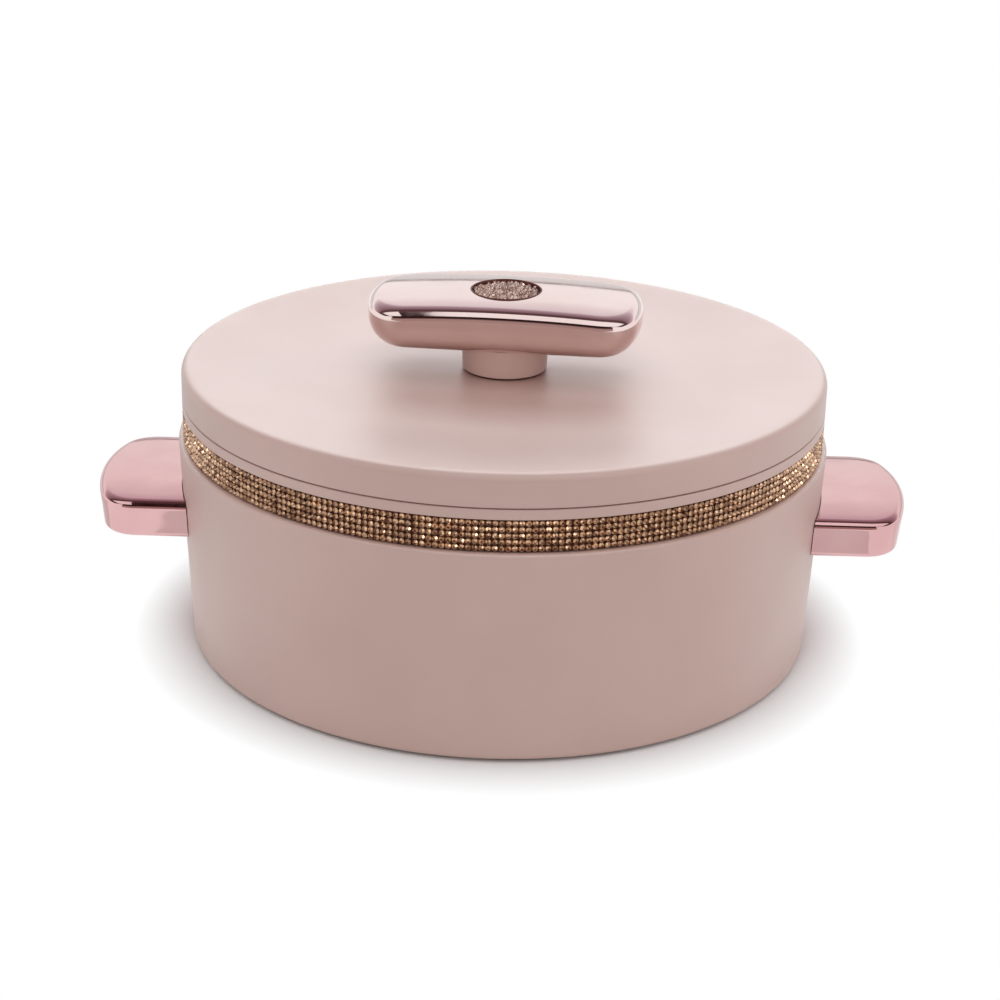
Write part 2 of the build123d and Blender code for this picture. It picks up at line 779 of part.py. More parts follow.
with BuildPart() as inlay_cup:
    disc(inlay_radius, inlay_floor, bar_top)
    disc(inlay_radius - inlay_cup_wall, inlay_floor + inlay_cup_floor, bar_top, mode=Mode.SUBTRACT)
inlay_cup.part.label = "inlay_cup"

with BuildPart() as inlay_stones:
    stones_radius = inlay_radius - inlay_cup_wall - screw_gap
    turned(
        (0, inlay_floor + inlay_cup_floor),
        (stones_radius, inlay_floor + inlay_cup_floor),
        (stones_radius, bar_top - inlay_crown),
        (0, bar_top),
    )
inlay_stones.part.label = "inlay_stones"

# ---------------------------------------------------------------- export, one file per piece
pieces = [
    outer_body, foam_plug, base_plate, rubber_feet, base_screws, inner_bowl, body_insulation, rim_collar,
    band_strip, stone_band, handle_shell_right, handle_core_right, handle_washers_right,
    handle_screws_right, handle_shell_left, handle_core_left, handle_washers_left, handle_screws_left,
    lid_cover, lid_liner, lid_ring, lid_seal, lid_insulation, knob_seat_ring, knob_stem, knob_shell,
    knob_plate, knob_plate_screws, knob_insert, knob_washer, knob_screw, inlay_cup, inlay_stones,
]
for piece in pieces:
    export_step(piece.part, f"parts/{piece.part.label}.step")
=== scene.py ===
import json
import math
import random

import bmesh
import bpy
from mathutils import Matrix, Vector


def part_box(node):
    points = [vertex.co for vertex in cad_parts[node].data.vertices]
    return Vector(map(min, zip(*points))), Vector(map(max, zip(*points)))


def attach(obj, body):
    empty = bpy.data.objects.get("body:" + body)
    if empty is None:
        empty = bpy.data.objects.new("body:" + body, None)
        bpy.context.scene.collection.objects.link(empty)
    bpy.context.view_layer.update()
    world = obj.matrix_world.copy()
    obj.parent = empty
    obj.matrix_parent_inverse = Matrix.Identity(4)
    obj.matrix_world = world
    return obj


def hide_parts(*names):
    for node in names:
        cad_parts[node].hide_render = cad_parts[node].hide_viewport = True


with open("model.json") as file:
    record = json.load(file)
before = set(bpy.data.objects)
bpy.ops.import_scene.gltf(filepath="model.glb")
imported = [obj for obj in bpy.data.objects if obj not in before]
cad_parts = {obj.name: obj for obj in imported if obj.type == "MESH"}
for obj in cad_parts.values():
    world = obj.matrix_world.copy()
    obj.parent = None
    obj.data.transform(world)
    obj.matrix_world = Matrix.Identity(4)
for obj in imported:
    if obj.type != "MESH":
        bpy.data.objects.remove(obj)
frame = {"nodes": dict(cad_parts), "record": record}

bl_info = {
    "name": "Insulated Casserole",
    "version": (1, 0, 0),
    "blender": (4, 5, 0),
    "location": "View3D > Sidebar > Casserole",
    "description": "Builds a round insulated casserole and the studio round it",
    "category": "Add Mesh",
}

MM = 0.001

# Places of the frame's pieces: the lowest and highest corner of each.
BODY_LOW, BODY_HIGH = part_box("outer_body")
BASE_PLATE_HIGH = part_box("base_plate")[1]
COLLAR_LOW, COLLAR_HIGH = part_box("rim_collar")
BOWL_LOW, BOWL_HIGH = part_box("inner_bowl")
STRIP_LOW, STRIP_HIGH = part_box("band_strip")
BAND_LOW, BAND_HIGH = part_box("stone_band")
FEET_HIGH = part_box("rubber_feet")[1]
BASE_SCREW_LOW, BASE_SCREW_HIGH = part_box("base_screws")
HANDLE_LOW, HANDLE_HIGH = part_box("handle_shell_right")
LID_LOW, LID_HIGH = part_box("lid_cover")
LINER_LOW, LINER_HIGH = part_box("lid_liner")
SEAL_LOW, SEAL_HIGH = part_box("lid_seal")
STEM_LOW, STEM_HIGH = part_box("knob_stem")
SEAT_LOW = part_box("knob_seat_ring")[0]
PLATE_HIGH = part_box("knob_plate")[1]
KNOB_SCREW_LOW, KNOB_SCREW_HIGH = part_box("knob_plate_screws")
CUP_LOW, CUP_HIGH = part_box("inlay_cup")
GEMS_LOW, GEMS_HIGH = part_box("inlay_stones")
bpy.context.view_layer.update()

# How finely pieces are turned, how near points are taken as one, and what counts as level or sharp.
ROUND_SEGMENTS = 256
KNOB_SEGMENTS = 160
FOOT_SEGMENTS = 64
SCREW_SEGMENTS = 48
POLE_RADIUS = 2e-6
MERGE_DISTANCE = 5e-6
RING_REACH = 20 * MERGE_DISTANCE
LEVEL_NORMAL = 0.9
SHARP_ANGLE = math.radians(32)

# A paint chart's values, a noise texture's usual range, and how much finer roughness varies.
CHART_WHITE = 255
SRGB_OFFSET = 0.055
SRGB_POWER = 2.4
NOISE_LOW = 0.3
NOISE_HIGH = 0.7
ROUGHNESS_FINENESS = 3

# Stones: their size and place in a row's pitch, their cut, and how light each kind of facet is
# painted.
STRIP_WALL = 0.5 * MM
STONE_FILL = 0.97
STONE_SINK = 0.04 * MM
STONE_SPIN = math.radians(10)
STONE_SIDES = 8
GIRDLE_SHARE = 0.3
TABLE_NORMAL = 0.95
CROWN_NORMAL = 0.1
# Painted light: tables are painted dark as a painted reflection, girdles dark as painted shade,
# crowns lighter with random tone and painted glints.
TABLE_AND_GIRDLE_PAINTED_DARK = {"table": 0.05, "girdle": 0.0}
CROWN_TONE_AND_PAINTED_GLINTS = (0.25, 1.0)
STONE_SPREAD = 0.18

# Inlay: its cup, its stones as shares of their pitch and of the bed's height, and their unevenness.
CUP_WALL = 0.5 * MM
INLAY_STONE_RADIUS = 0.56
INLAY_STONE_HEIGHT = 0.8
INLAY_STONE_LIFT = 0.12
INLAY_DOME = 0.14
INLAY_STONE_SIZES = (0.82, 1.08)
INLAY_CROWDING = 1.12
INLAY_NUDGE = 0.16

# Side handles: points along each stretch of the outline, and levels of each stretch of the side.
HANDLE_SIDE_STEPS = 14
HANDLE_CORNER_STEPS = 16
HANDLE_BOW_STEPS = 44
HANDLE_ROOT_STEPS = 36
HANDLE_BOTTOM_LEVELS = 8
HANDLE_SIDE_LEVELS = 4
HANDLE_TOP_LEVELS = 12
HANDLE_CROWN_LEVELS = 8
HANDLE_UNDERSIDE = (1, 0.6, 0.3)

# Knob bar: the same, and the room round its inlay cup and over its bottom plate.
BAR_SIDE_STEPS = 24
BAR_CORNER_STEPS = 22
BAR_BOW_STEPS = 36
BAR_ROUND_LEVELS = 16
BAR_SIDE_LEVELS = 4
BAR_CROWN_LEVELS = 18
BAR_CLOSING = (1, 0.5, 0)
SEAT_GAP = 0.1 * MM
PLATE_ROOM = 0.5 * MM

# Seal, feet and screws.
SEAL_WIDTH = 6.0 * MM
FOOT_RADIUS = 8.0 * MM
FOOT_LIP = 1.6 * MM
FOOT_DIMPLE = 0.4 * MM
FOOT_ROUND = 0.6 * MM
BASE_SCREW_HEAD = 3.0 * MM
BASE_SCREW_SHANK = 1.5 * MM
BASE_SCREW_CONE = 1.5 * MM
KNOB_SCREW_HEAD = 2.8 * MM
KNOB_SCREW_HEAD_HEIGHT = 1.4 * MM
KNOB_SCREW_SHANK = 1.5 * MM
RECESS_SHARE = 0.62
RECESS_WIDTH_SHARE = 0.2
RECESS_DEPTH = 0.9 * MM
RECESS_TAPER = 0.6

# Lamps: name, power setting, place, size, the pieces it lights (all if none), and whether it
# adds gloss alone.
SATIN_PIECES = ("body_shell", "rim_ring", "lid_shell", "stem_post")
LAMPS = (
    ("top_lamp", "top_lamp", (0.0, -0.35, 1.5), (1.4, 1.2), (), False),
    ("front_lamp", "front_lamp", (0.0, -1.5, 0.55), (1.2, 0.7), (), False),
    ("rear_gloss_lamp", "rear_gloss", (0.0, 1.7, 0.95), (2.4, 1.3), SATIN_PIECES, True),
    ("rear_haze_lamp", "rear_haze", (0.0, 1.2, 1.5), (2.0, 1.0), SATIN_PIECES, True),
    ("shoulder_lamp", "shoulder_lamp", (0.0, -0.6, 1.4), (1.6, 0.5), ("body_shell",), True),
    ("stem_lamp", "stem_lamp", (0.0, -1.5, 0.25), (0.6, 0.3), ("stem_post",), False),
    ("left_sparkle_lamp", "left_sparkle", (-0.9, -0.97, 0.6), (1.4, 0.8), ("stone_rows",), True),
    ("left_glint_lamp", "left_glint", (-0.43, -0.63, 1.15), (0.8, 0.8), ("stone_rows",), True),
    ("left_inlay_lamp", "inlay_sparkle", (-0.35, 0.3, 1.1), (0.35, 0.35), ("inlay_gems",), True),
    ("right_sparkle_lamp", "right_sparkle", (0.9, -0.97, 0.6), (1.4, 0.8), ("stone_rows",), True),
    ("right_glint_lamp", "right_glint", (0.43, -0.63, 1.15), (0.8, 0.8), ("stone_rows",), True),
    ("right_inlay_lamp", "inlay_sparkle", (0.35, 0.3, 1.1), (0.35, 0.35), ("inlay_gems",), True),
    ("left_lamp", "left_lamp", (-1.3, 0.1, 0.55), (0.9, 0.9), (), False),
    ("right_lamp", "right_lamp", (1.3, 0.1, 0.55), (0.9, 0.9), (), False),
)

# Floor: its size and tint; then the tints of the cards that the plating mirrors.
FLOOR_SIZE = 6.0
FLOOR_TINT = (0.9, 0.9, 0.9)
DARK = (0.03, 0.012, 0.012)
DARK_ROSE = (0.11, 0.06, 0.065)
WARM_BROWN = (0.40, 0.28, 0.26)
MAUVE_SHADE = (0.26, 0.17, 0.20)
MAUVE = (0.60, 0.50, 0.57)
MAUVE_LIGHT = (0.78, 0.72, 0.75)
COOL_GREY = (0.75, 0.77, 0.77)
LINE_GREY = (0.36, 0.32, 0.32)
WHITE = (1.0, 1.0, 1.0)

# Ceiling card: its colours by how far back they lie, and the corners of two bright strips under it.
CEILING_HEIGHT = 0.76
CEILING_HALF_WIDTH = 3.0
CEILING_FADE = (
    (-1.15, DARK),
    (-0.50, DARK),
    (-0.21, DARK_ROSE),
    (-0.01, DARK_ROSE),
    (0.11, MAUVE_SHADE),
    (0.86, MAUVE),
    (1.12, MAUVE_LIGHT),
    (1.42, WHITE),
)
STRIP_HEIGHT = 0.74
STRIPS = (
    ("right_strip", ((-0.277, -0.985), (1.4, -0.985), (-0.152, -0.208), (1.4, -0.208))),
    ("left_strip", ((-1.4, -0.94), (-0.42, -0.94), (-1.4, -0.191), (-0.31, -0.191))),
)

# Upright cards: name, ends from left to right, how far back, edges from low to high, and
# colours upwards.
FRONT_FADE = ((0, WARM_BROWN), (0.36, WARM_BROWN), (0.60, DARK), (1, DARK))
BACK_FADE = ((0, COOL_GREY), (0.84, COOL_GREY), (0.94, LINE_GREY), (1, LINE_GREY))
UPRIGHT_CARDS = (
    ("front_card", (-0.62, 0.50), -0.55, (0.001, 0.47), FRONT_FADE),
    ("back_card", (-3.5, 3.5), 2.6, (0.001, 0.645), BACK_FADE),
)

# Floor cards: name, ends from left to right, edges from near to far, and how light the card is.
FLOOR_CARD_HEIGHT = 0.002
FLOOR_CARDS = (
    ("front", (-0.10, 0.10), (-0.55, -0.135), 0.76),
    ("front_left", (-0.151, -0.10), (-0.55, -0.09), 0.74),
    ("front_right", (0.10, 0.172), (-0.55, -0.09), 0.76),
    ("left", (-0.6, -0.2), (0.0, 0.4), 0.74),
    ("right", (0.2, 0.6), (0.0, 0.4), 0.90),
)

# Distance from which the camera sees.
CAMERA_CLIP = 0.01


# ---------------------------------------------------------------- settings
def length(name, description, metres):
    """A length property in metres."""
    return bpy.props.FloatProperty(
        name=name, description=description, default=metres, unit="LENGTH", precision=5
    )


def angle(name, description, degrees):
    """An angle property, given in degrees."""
    return bpy.props.FloatProperty(
        name=name,
        description=description,
        default=math.radians(degrees),
        subtype="ANGLE",
        unit="ROTATION",
    )


def power(name, description, watts):
    """The power of a lamp in watts."""
    return bpy.props.FloatProperty(
        name=name, description=description, default=watts, min=0, unit="POWER"
    )


def count(name, description, number):
    """A whole number of copies, at least one."""
    return bpy.props.IntProperty(name=name, description=description, default=number, min=1)


def colour(name, description, red, green, blue):
    """A colour property, given in the 0 to 255 values of a paint chart."""
    shares = [channel / CHART_WHITE for channel in (red, green, blue)]
    linear = [((share + SRGB_OFFSET) / (1 + SRGB_OFFSET)) ** SRGB_POWER for share in shares]
    return bpy.props.FloatVectorProperty(
        name=name, description=description, default=linear, size=3, subtype="COLOR", min=0, max=1
    )


class CasseroleShell(bpy.types.PropertyGroup):
    rim_radius: length("Rim radius", "Outside radius of the collar and the lid", COLLAR_HIGH.x)
    shoulder_overhang: length("Shoulder overhang", "How far it stands past the rim", 1.8 * MM)
    shoulder_drop: length("Shoulder drop", "Depth of the stone band's recess", 12.75 * MM)
    body_taper: length("Body taper", "Loss of radius from the shoulder down to the base", 3.9 * MM)
    body_wall: length("Body wall", "Thickness of the outer body", 2.6 * MM)
    base_round: length("Base rounding", "Rounding of the bottom edge", 2.5 * MM)
    shoulder_round: length("Shoulder rounding", "Rounding of the shoulder edge", 1.25 * MM)
    neck_recess: length("Neck recess", "How far the neck lies inside the rim", 1.9 * MM)
    neck_wall: length("Neck wall", "Thickness of the neck behind the stones", 2.4 * MM)
    collar_height: length("Collar height", "Height of the collar above the stone band", 4.05 * MM)
    collar_round: length("Collar rounding", "Rounding of the collar's edges", 0.5 * MM)
    collar_skirt_wall: length("Collar skirt wall", "Thickness of its inner skirt", 2.4 * MM)
    fit_gap: length("Fit gap", "Clearance between neighbouring pieces", 0.3 * MM)


class CasseroleBowl(bpy.types.PropertyGroup):
    mouth_radius: length("Mouth radius", "Inside radius at the rim", 108.0 * MM)
    taper: length("Taper", "Loss of radius from the rim down to the floor", 7.5 * MM)
    sheet: length("Sheet", "Thickness of the steel", 0.8 * MM)
    corner: length("Corner", "Rounding between floor and wall", 16.0 * MM)
    liner_clearance: length("Liner clearance", "Room between the bowl and the liner", 1.5 * MM)
    liner_corner: length("Liner corner", "Rounding at the bottom of the lid's liner", 4.0 * MM)
    seal_round: length("Seal rounding", "Rounding of the seal's edges", 0.9 * MM)


class CasseroleLid(bpy.types.PropertyGroup):
    dish_depth: length("Dish depth", "Depth of the flat below the rim", LID_HIGH.z - SEAT_LOW.z)
    rim_band: length("Rim band", "Width from the edge to the foot of the dish's slope", 40.0 * MM)
    crest_width: length("Crest width", "Width of the rim's crest inside its rounded edge", 1.2 * MM)
    edge_round: length("Edge rounding", "Rounding of the outer top edge", 3.2 * MM)
    crest_round: length("Crest rounding", "Rounding where the rim turns down", 15.0 * MM)
    dish_round: length("Dish rounding", "Rounding where the slope meets the flat", 300.0 * MM)
    skirt_round: length("Skirt rounding", "Rounding of the skirt's lower edge", 0.35 * MM)
    wall: length("Wall", "Thickness of the cover", 2.4 * MM)


class CasseroleHandle(bpy.types.PropertyGroup):
    reach: length("Reach", "Distance of its end from the middle", HANDLE_HIGH.x + 0.31 * MM)
    half_width: length("Half width", "Half of the handle's width", 38.8 * MM)
    thickness: length("Thickness", "Height of the handle", HANDLE_HIGH.z - HANDLE_LOW.z)
    draft: angle("Draft", "Slope of the sides", 5.0)
    crown_drop: length("Crown drop", "How far the top falls towards its sides", 1.6 * MM)
    end_radius: length("End radius", "Bow of the outer end", 95.0 * MM)
    corner: length("Corner", "Rounding of the outer corners seen from above", 15.5 * MM)
    top_round: length("Top rounding", "Rounding of the top edge", 3.6 * MM)
    bottom_round: length("Bottom rounding", "Rounding of the bottom edge", 2.2 * MM)


class CasseroleKnob(bpy.types.PropertyGroup):
    turn: angle("Turn", "How far the bar stands off the line of the handles", -4.4)
    half_length: length("Half length", "Half of the bar's length", 55.2 * MM)
    half_width: length("Half width", "Half of the bar's width", 27.0 * MM)
    end_radius: length("End radius", "Bow of the bar's ends", 60.0 * MM)
    corner: length("Corner", "Rounding of the bar's corners seen from above", 16.0 * MM)
    cross_crown: length("Cross crown", "Radius of the top across the bar", 223.0 * MM)
    long_crown: length("Long crown", "Radius of the top along the bar", 640.0 * MM)
    top_round: length("Top rounding", "Rounding of the top edge", 4.5 * MM)
    bottom_round: length("Bottom rounding", "Rounding of the bottom edge", 12.0 * MM)
    opening_half_length: length("Opening half length", "Half of the opening underneath", 40.5 * MM)
    opening_half_width: length("Opening half width", "Half of the opening underneath", 13.0 * MM)
    opening_corner: length("Opening corner", "Rounding of the opening's corners", 6.0 * MM)
    stem_radius: length("Stem radius", "Radius at the top of the stem", STEM_HIGH.x)
    stem_taper: length("Stem taper", "Loss of radius from the bar down to the lid", 0.4 * MM)
    stem_round: length("Stem rounding", "Rounding of the stem's foot", 0.5 * MM)


class CasseroleStones(bpy.types.PropertyGroup):
    rows: count("Rows", "Rows of stones in the band", 5)
    per_row: count("Stones per row", "Stones round the band", 336)
    sections: count("Sections", "Lengths of trim that make up the band", 14)
    seam: length("Seam", "Extra gap between two lengths of trim", 0.35 * MM)
    table_share: bpy.props.FloatProperty(
        name="Table share",
        description="Flat table's width as a share of the stone's",
        default=0.42,
        subtype="FACTOR",
    )
    tilt: angle("Tilt", "How unevenly the stones sit", 4.0)
    inlay_pitch: length("Inlay pitch", "Distance between the stones of the inlay", 1.8 * MM)
    inlay_tilt: angle("Inlay tilt", "How unevenly the stones of the inlay sit", 16.0)
    seed: bpy.props.IntProperty(name="Seed", description="Changes how the stones sit", default=7)


class CasseroleColours(bpy.types.PropertyGroup):
    shell: colour("Shell", "Matte plastic of body and lid", 207, 174, 164)
    shell_shade: colour("Shell shade", "Darker clouds in the matte plastic", 203, 169, 159)
    plating: colour("Handle plating", "Rose-gold plating of the side handles", 226, 183, 183)
    plating_shade: colour("Handle plating shade", "Darker clouds in their plating", 220, 174, 175)
    knob_plating: colour("Knob plating", "Pale rose plating of the knob", 241, 220, 217)
    knob_plating_shade: colour("Knob plating shade", "Darker clouds in its plating", 237, 214, 210)
    # The dark colour also gives the stones' painted shade and painted dark reflection; the light
    # colour also gives their painted glints.
    stone_dark: colour("Dark stones", "Darkest facets of the champagne stones", 92, 46, 20)
    stone_light: colour("Light stones", "Lightest facets of the champagne stones", 250, 208, 170)
    # The same for the inlay: its dark colour also gives painted shade and reflection, its light
    # colour painted glints.
    inlay_dark: colour("Dark inlay stones", "Darkest facets of the inlay", 126, 86, 74)
    inlay_light: colour("Light inlay stones", "Lightest facets of the inlay", 250, 226, 212)
    mesh: colour("Stone mesh", "Bronzed mesh behind the stones", 74, 32, 16)
    inlay_rim: colour("Inlay rim", "Bronze rim round the inlay", 128, 84, 74)
    steel: colour("Steel", "Stainless steel of bowl and liner", 206, 206, 204)
    rubber: colour("Rubber", "Dark rubber of the feet", 52, 44, 42)
    gasket: colour("Gasket", "Brown rubber ring under the stem", 84, 46, 36)
    silicone: colour("Silicone", "White silicone of the seal", 226, 222, 216)
    foam: colour("Foam", "Rigid foam inside the walls", 236, 222, 176)
    core: colour("Core plastic", "Natural plastic of the hidden blocks", 222, 216, 208)
    zinc: colour("Zinc", "Zinc plating of screws and washers", 190, 190, 190)
    brass: colour("Brass", "Turned brass of the threaded insert", 196, 160, 84)


class CasseroleStudio(bpy.types.PropertyGroup):
    camera_place: bpy.props.FloatVectorProperty(
        name="Camera place",
        description="Where the camera stands",
        default=(0.0131, -0.8704, 0.4051),
        unit="LENGTH",
    )
    camera_lens: bpy.props.FloatProperty(
        name="Lens", description="Focal length", default=81.33, unit="CAMERA"
    )
    camera_pitch: angle("Camera pitch", "How far the camera looks down", 21.966)
    camera_heading: angle("Camera heading", "Turn of the camera about the vertical", 0.9)
    camera_roll: angle("Camera roll", "Lean of the camera", 1.351)
    top_lamp: power("Top lamp", "Power of the lamp overhead", 5.0)
    front_lamp: power("Front lamp", "Power of the lamp beside the camera", 1.4)
    rear_gloss: power("Rear gloss", "Power of the lamp behind that adds a sheen", 16.0)
    rear_haze: power("Rear haze", "Power of the higher lamp behind that hazes the lid", 30.0)
    shoulder_lamp: power("Shoulder lamp", "Power of the lamp that lights the shoulder's edge", 12.0)
    stem_lamp: power("Stem lamp", "Power of the low lamp on the knob's stem", 3.0)
    left_sparkle: power("Left sparkle", "Power of the left lamp on the band's stones", 10.0)
    right_sparkle: power("Right sparkle", "Power of the right lamp on the band's stones", 13.0)
    left_glint: power("Left glint", "Power of the high left lamp on the band's front", 4.0)
    right_glint: power("Right glint", "Power of the high right lamp on the band's front", 8.0)
    inlay_sparkle: power("Inlay sparkle", "Power of each of the two lamps on the inlay", 8.0)
    left_lamp: power("Left lamp", "Power of the lamp on the left", 1.85)
    right_lamp: power("Right lamp", "Power of the lamp on the right", 3.0)
    sky: bpy.props.FloatProperty(name="Sky", description="Even light from all round", default=0.50)
    shadow_place: bpy.props.FloatVectorProperty(
        name="Shadow place",
        description="Middle of the floor's shaded patch",
        default=(0.0, 0.0, 0.0),
        unit="LENGTH",
    )
    shadow_start: length("Shadow start", "Radius within which the floor is shaded", 127.0 * MM)
    shadow_end: length("Shadow end", "Radius past which the floor is white", 152.0 * MM)


GROUPS = {
    "casserole_shell": CasseroleShell,
    "casserole_bowl": CasseroleBowl,
    "casserole_lid": CasseroleLid,
    "casserole_handle": CasseroleHandle,
    "casserole_knob": CasseroleKnob,
    "casserole_stones": CasseroleStones,
    "casserole_colours": CasseroleColours,
    "casserole_studio": CasseroleStudio,
}


# ---------------------------------------------------------------- modelling helpers
def start_clean():
    """Leave edit mode and select nothing."""
    if bpy.context.object and bpy.context.object.mode != "OBJECT":
        bpy.ops.object.mode_set(mode="OBJECT")
    bpy.ops.object.select_all(action="DESELECT")


def pick(piece):
    """Select one piece alone and make it the active one."""
    start_clean()
    piece.select_set(True)
    bpy.context.view_layer.objects.active = piece


def enter_edit(piece, select="DESELECT"):
    """Edit one piece alone, with all or none of its vertices selected."""
    pick(piece)
    bpy.ops.object.mode_set(mode="EDIT")
    bpy.ops.mesh.select_mode(type="VERT")
    bpy.ops.mesh.select_all(action=select)


def settle(piece):
    """Put the piece's place into its mesh and shade it smooth up to its sharp edges."""
    pick(piece)
    bpy.ops.object.transform_apply(location=True, rotation=True, scale=True)
    bpy.ops.object.shade_smooth_by_angle(angle=SHARP_ANGLE)


def close_up():
    """Merge the doubled rings and poles of the piece in edit mode and point its faces outwards."""
    bpy.ops.mesh.select_all(action="SELECT")
    bpy.ops.mesh.remove_doubles(threshold=MERGE_DISTANCE)
    bpy.ops.mesh.normals_make_consistent(inside=False)


def turn_piece(name, rings, segments=ROUND_SEGMENTS):
    """Turn a round piece: one circle, extruded and resized through (radius, height) rings."""
    start_clean()
    radius, height = rings[0]
    radius = max(radius, POLE_RADIUS)
    bpy.ops.mesh.primitive_circle_add(vertices=segments, radius=radius, location=(0, 0, height))
    piece = bpy.context.active_object
    piece.name = name
    bpy.ops.object.transform_apply(location=True)
    enter_edit(piece, "SELECT")
    for next_radius, next_height in rings[1:]:
        next_radius = max(next_radius, POLE_RADIUS)
        rise = (0, 0, next_height - height)
        bpy.ops.mesh.extrude_region_move(TRANSFORM_OT_translate={"value": rise})
        growth = next_radius / radius
        bpy.ops.transform.resize(value=(growth, growth, 1), center_override=(0, 0, next_height))
        radius, height = next_radius, next_height
    close_up()
    return piece


def on_ring(vert, radius, height):
    """Whether a vertex lies on the ring of a turned piece at a radius and a height."""
    return abs(vert.co.xy.length - radius) < RING_REACH and abs(vert.co.z - height) < RING_REACH


def round_rings(piece, rings, width, segments):
    """Bevel the edges of a turned piece that lie on (radius, height) rings."""
    bpy.ops.mesh.select_mode(type="EDGE")
    bpy.ops.mesh.select_all(action="DESELECT")
    mesh = bmesh.from_edit_mesh(piece.data)
    for edge in mesh.edges:
        for radius, height in rings:
            if all(on_ring(vert, radius, height) for vert in edge.verts):
                edge.select = True
    bmesh.update_edit_mesh(piece.data)
    bpy.ops.mesh.bevel(
        offset=width, offset_type="OFFSET", segments=segments, profile=0.5, affect="EDGES"
    )


def select_level_faces(piece, side):
    """In edit mode, select the faces of a piece that look up (side 1) or down (side -1)."""
    bpy.ops.mesh.select_mode(type="FACE")
    mesh = bmesh.from_edit_mesh(piece.data)
    for face in mesh.faces:
        face.select = side * face.normal.z > LEVEL_NORMAL
    bmesh.update_edit_mesh(piece.data)


def place_selected(piece, points):
    """Move the selected ring of a piece in edit mode onto a list of points, in order."""
    mesh = bmesh.from_edit_mesh(piece.data)
    chosen = [vert for vert in mesh.verts if vert.select]
    for vert, point in zip(chosen, points, strict=True):
        vert.co = point
    bmesh.update_edit_mesh(piece.data)


def stack_rings(name, rings):
    """Build a closed piece from rings of matching points: one ring, extruded to each next."""
    start_clean()
    bpy.ops.mesh.primitive_circle_add(vertices=len(rings[0]), radius=1)
    piece = bpy.context.active_object
    piece.name = name
    enter_edit(piece, "SELECT")
    place_selected(piece, rings[0])
    for ring in rings[1:]:
        bpy.ops.mesh.extrude_region_move()
        place_selected(piece, ring)
    close_up()
    return piece


def gather(name, template, matrices):
    """One piece that holds a copy of the template at each matrix; the template goes."""
    whole = bmesh.new()
    for matrix in matrices:
        copy = template.data.copy()
        copy.transform(matrix)
        whole.from_mesh(copy)
        bpy.data.meshes.remove(copy)
    mesh = bpy.data.meshes.new(name)
    whole.to_mesh(mesh)
    whole.free()
    piece = bpy.data.objects.new(name, mesh)
    bpy.context.scene.collection.objects.link(piece)
    bpy.data.objects.remove(template)
    return piece


def cut_with(piece, cutter):
    """Subtract the cutter from the piece, then delete the cutter."""
    pick(piece)
    cut = piece.modifiers.new("Cut", "BOOLEAN")
    cut.operation = "DIFFERENCE"
    cut.solver = "EXACT"
    cut.object = cutter
    bpy.ops.object.modifier_apply(modifier=cut.name)
    bpy.data.objects.remove(cutter)


def quarter_turns(start=0.0):
    """Four turns about Z, a quarter apart."""
    return [Matrix.Rotation(start + k * math.pi / 2, 4, "Z") for k in range(4)]


def lean(rng, spread):
    """A random tilt about X and Y, of a spread in radians."""
    about_x = Matrix.Rotation(rng.gauss(0, spread), 4, "X")
    return about_x @ Matrix.Rotation(rng.gauss(0, spread), 4, "Y")


def hand_over(piece, body, slot, material, *nodes):
    """Give a finished piece its material and body, and hide the frame nodes it stands for. The slot
    is not used.
    """
    piece.data.materials.clear()
    piece.data.materials.append(material)
    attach(piece, body)
    if nodes:
        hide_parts(*nodes)


# ---------------------------------------------------------------- finishes
def shader_of(material):
    return material.node_tree.nodes["Principled BSDF"]


def new_finish(name, **constants):
    """A material whose shader has constant sockets, such as Metallic, set by name."""
    material = bpy.data.materials.new(name)
    material.use_nodes = True
    for socket, value in constants.items():
        shader_of(material).inputs[socket.replace("_", " ")].default_value = value
    return material


def add_node(owner, kind, **settings):
    """A new node of a material or world with its settings, such as operation, set by name."""
    node = owner.node_tree.nodes.new(kind)
    for setting, value in settings.items():
        setattr(node, setting, value)
    return node


def join(owner, output, socket):
    owner.node_tree.links.new(output, socket)


def noise(material, size, detail=3.0, stretch=(1, 1, 1)):
    """Noise on object coordinates whose clouds are about a size in metres; returns its output."""
    place = add_node(material, "ShaderNodeTexCoord")
    mapping = add_node(material, "ShaderNodeMapping")
    mapping.inputs["Scale"].default_value = [share / size for share in stretch]
    cloud = add_node(material, "ShaderNodeTexNoise")
    cloud.inputs["Scale"].default_value = 1.0
    cloud.inputs["Detail"].default_value = detail
    join(material, place.outputs["Object"], mapping.inputs["Vector"])
    join(material, mapping.outputs["Vector"], cloud.inputs["Vector"])
    return cloud.outputs["Fac"]


def turning_marks(material, pitch):
    """Noise in rings about Z, as a turned or spun finish leaves; returns its output."""
    place = add_node(material, "ShaderNodeTexCoord")
    parts = add_node(material, "ShaderNodeSeparateXYZ")
    flat = add_node(material, "ShaderNodeCombineXYZ")
    radius = add_node(material, "ShaderNodeVectorMath", operation="LENGTH")
    travel = add_node(material, "ShaderNodeMath", operation="ADD")
    marks = add_node(material, "ShaderNodeTexNoise", noise_dimensions="1D")
    marks.inputs["Scale"].default_value = 1 / pitch
    marks.inputs["Detail"].default_value = 4.0
    join(material, place.outputs["Object"], parts.inputs["Vector"])
    join(material, parts.outputs["X"], flat.inputs["X"])
    join(material, parts.outputs["Y"], flat.inputs["Y"])
    join(material, flat.outputs["Vector"], radius.inputs[0])
    join(material, radius.outputs["Value"], travel.inputs[0])
    join(material, parts.outputs["Z"], travel.inputs[1])
    join(material, travel.outputs["Value"], marks.inputs["W"])
    return marks.outputs["Fac"]


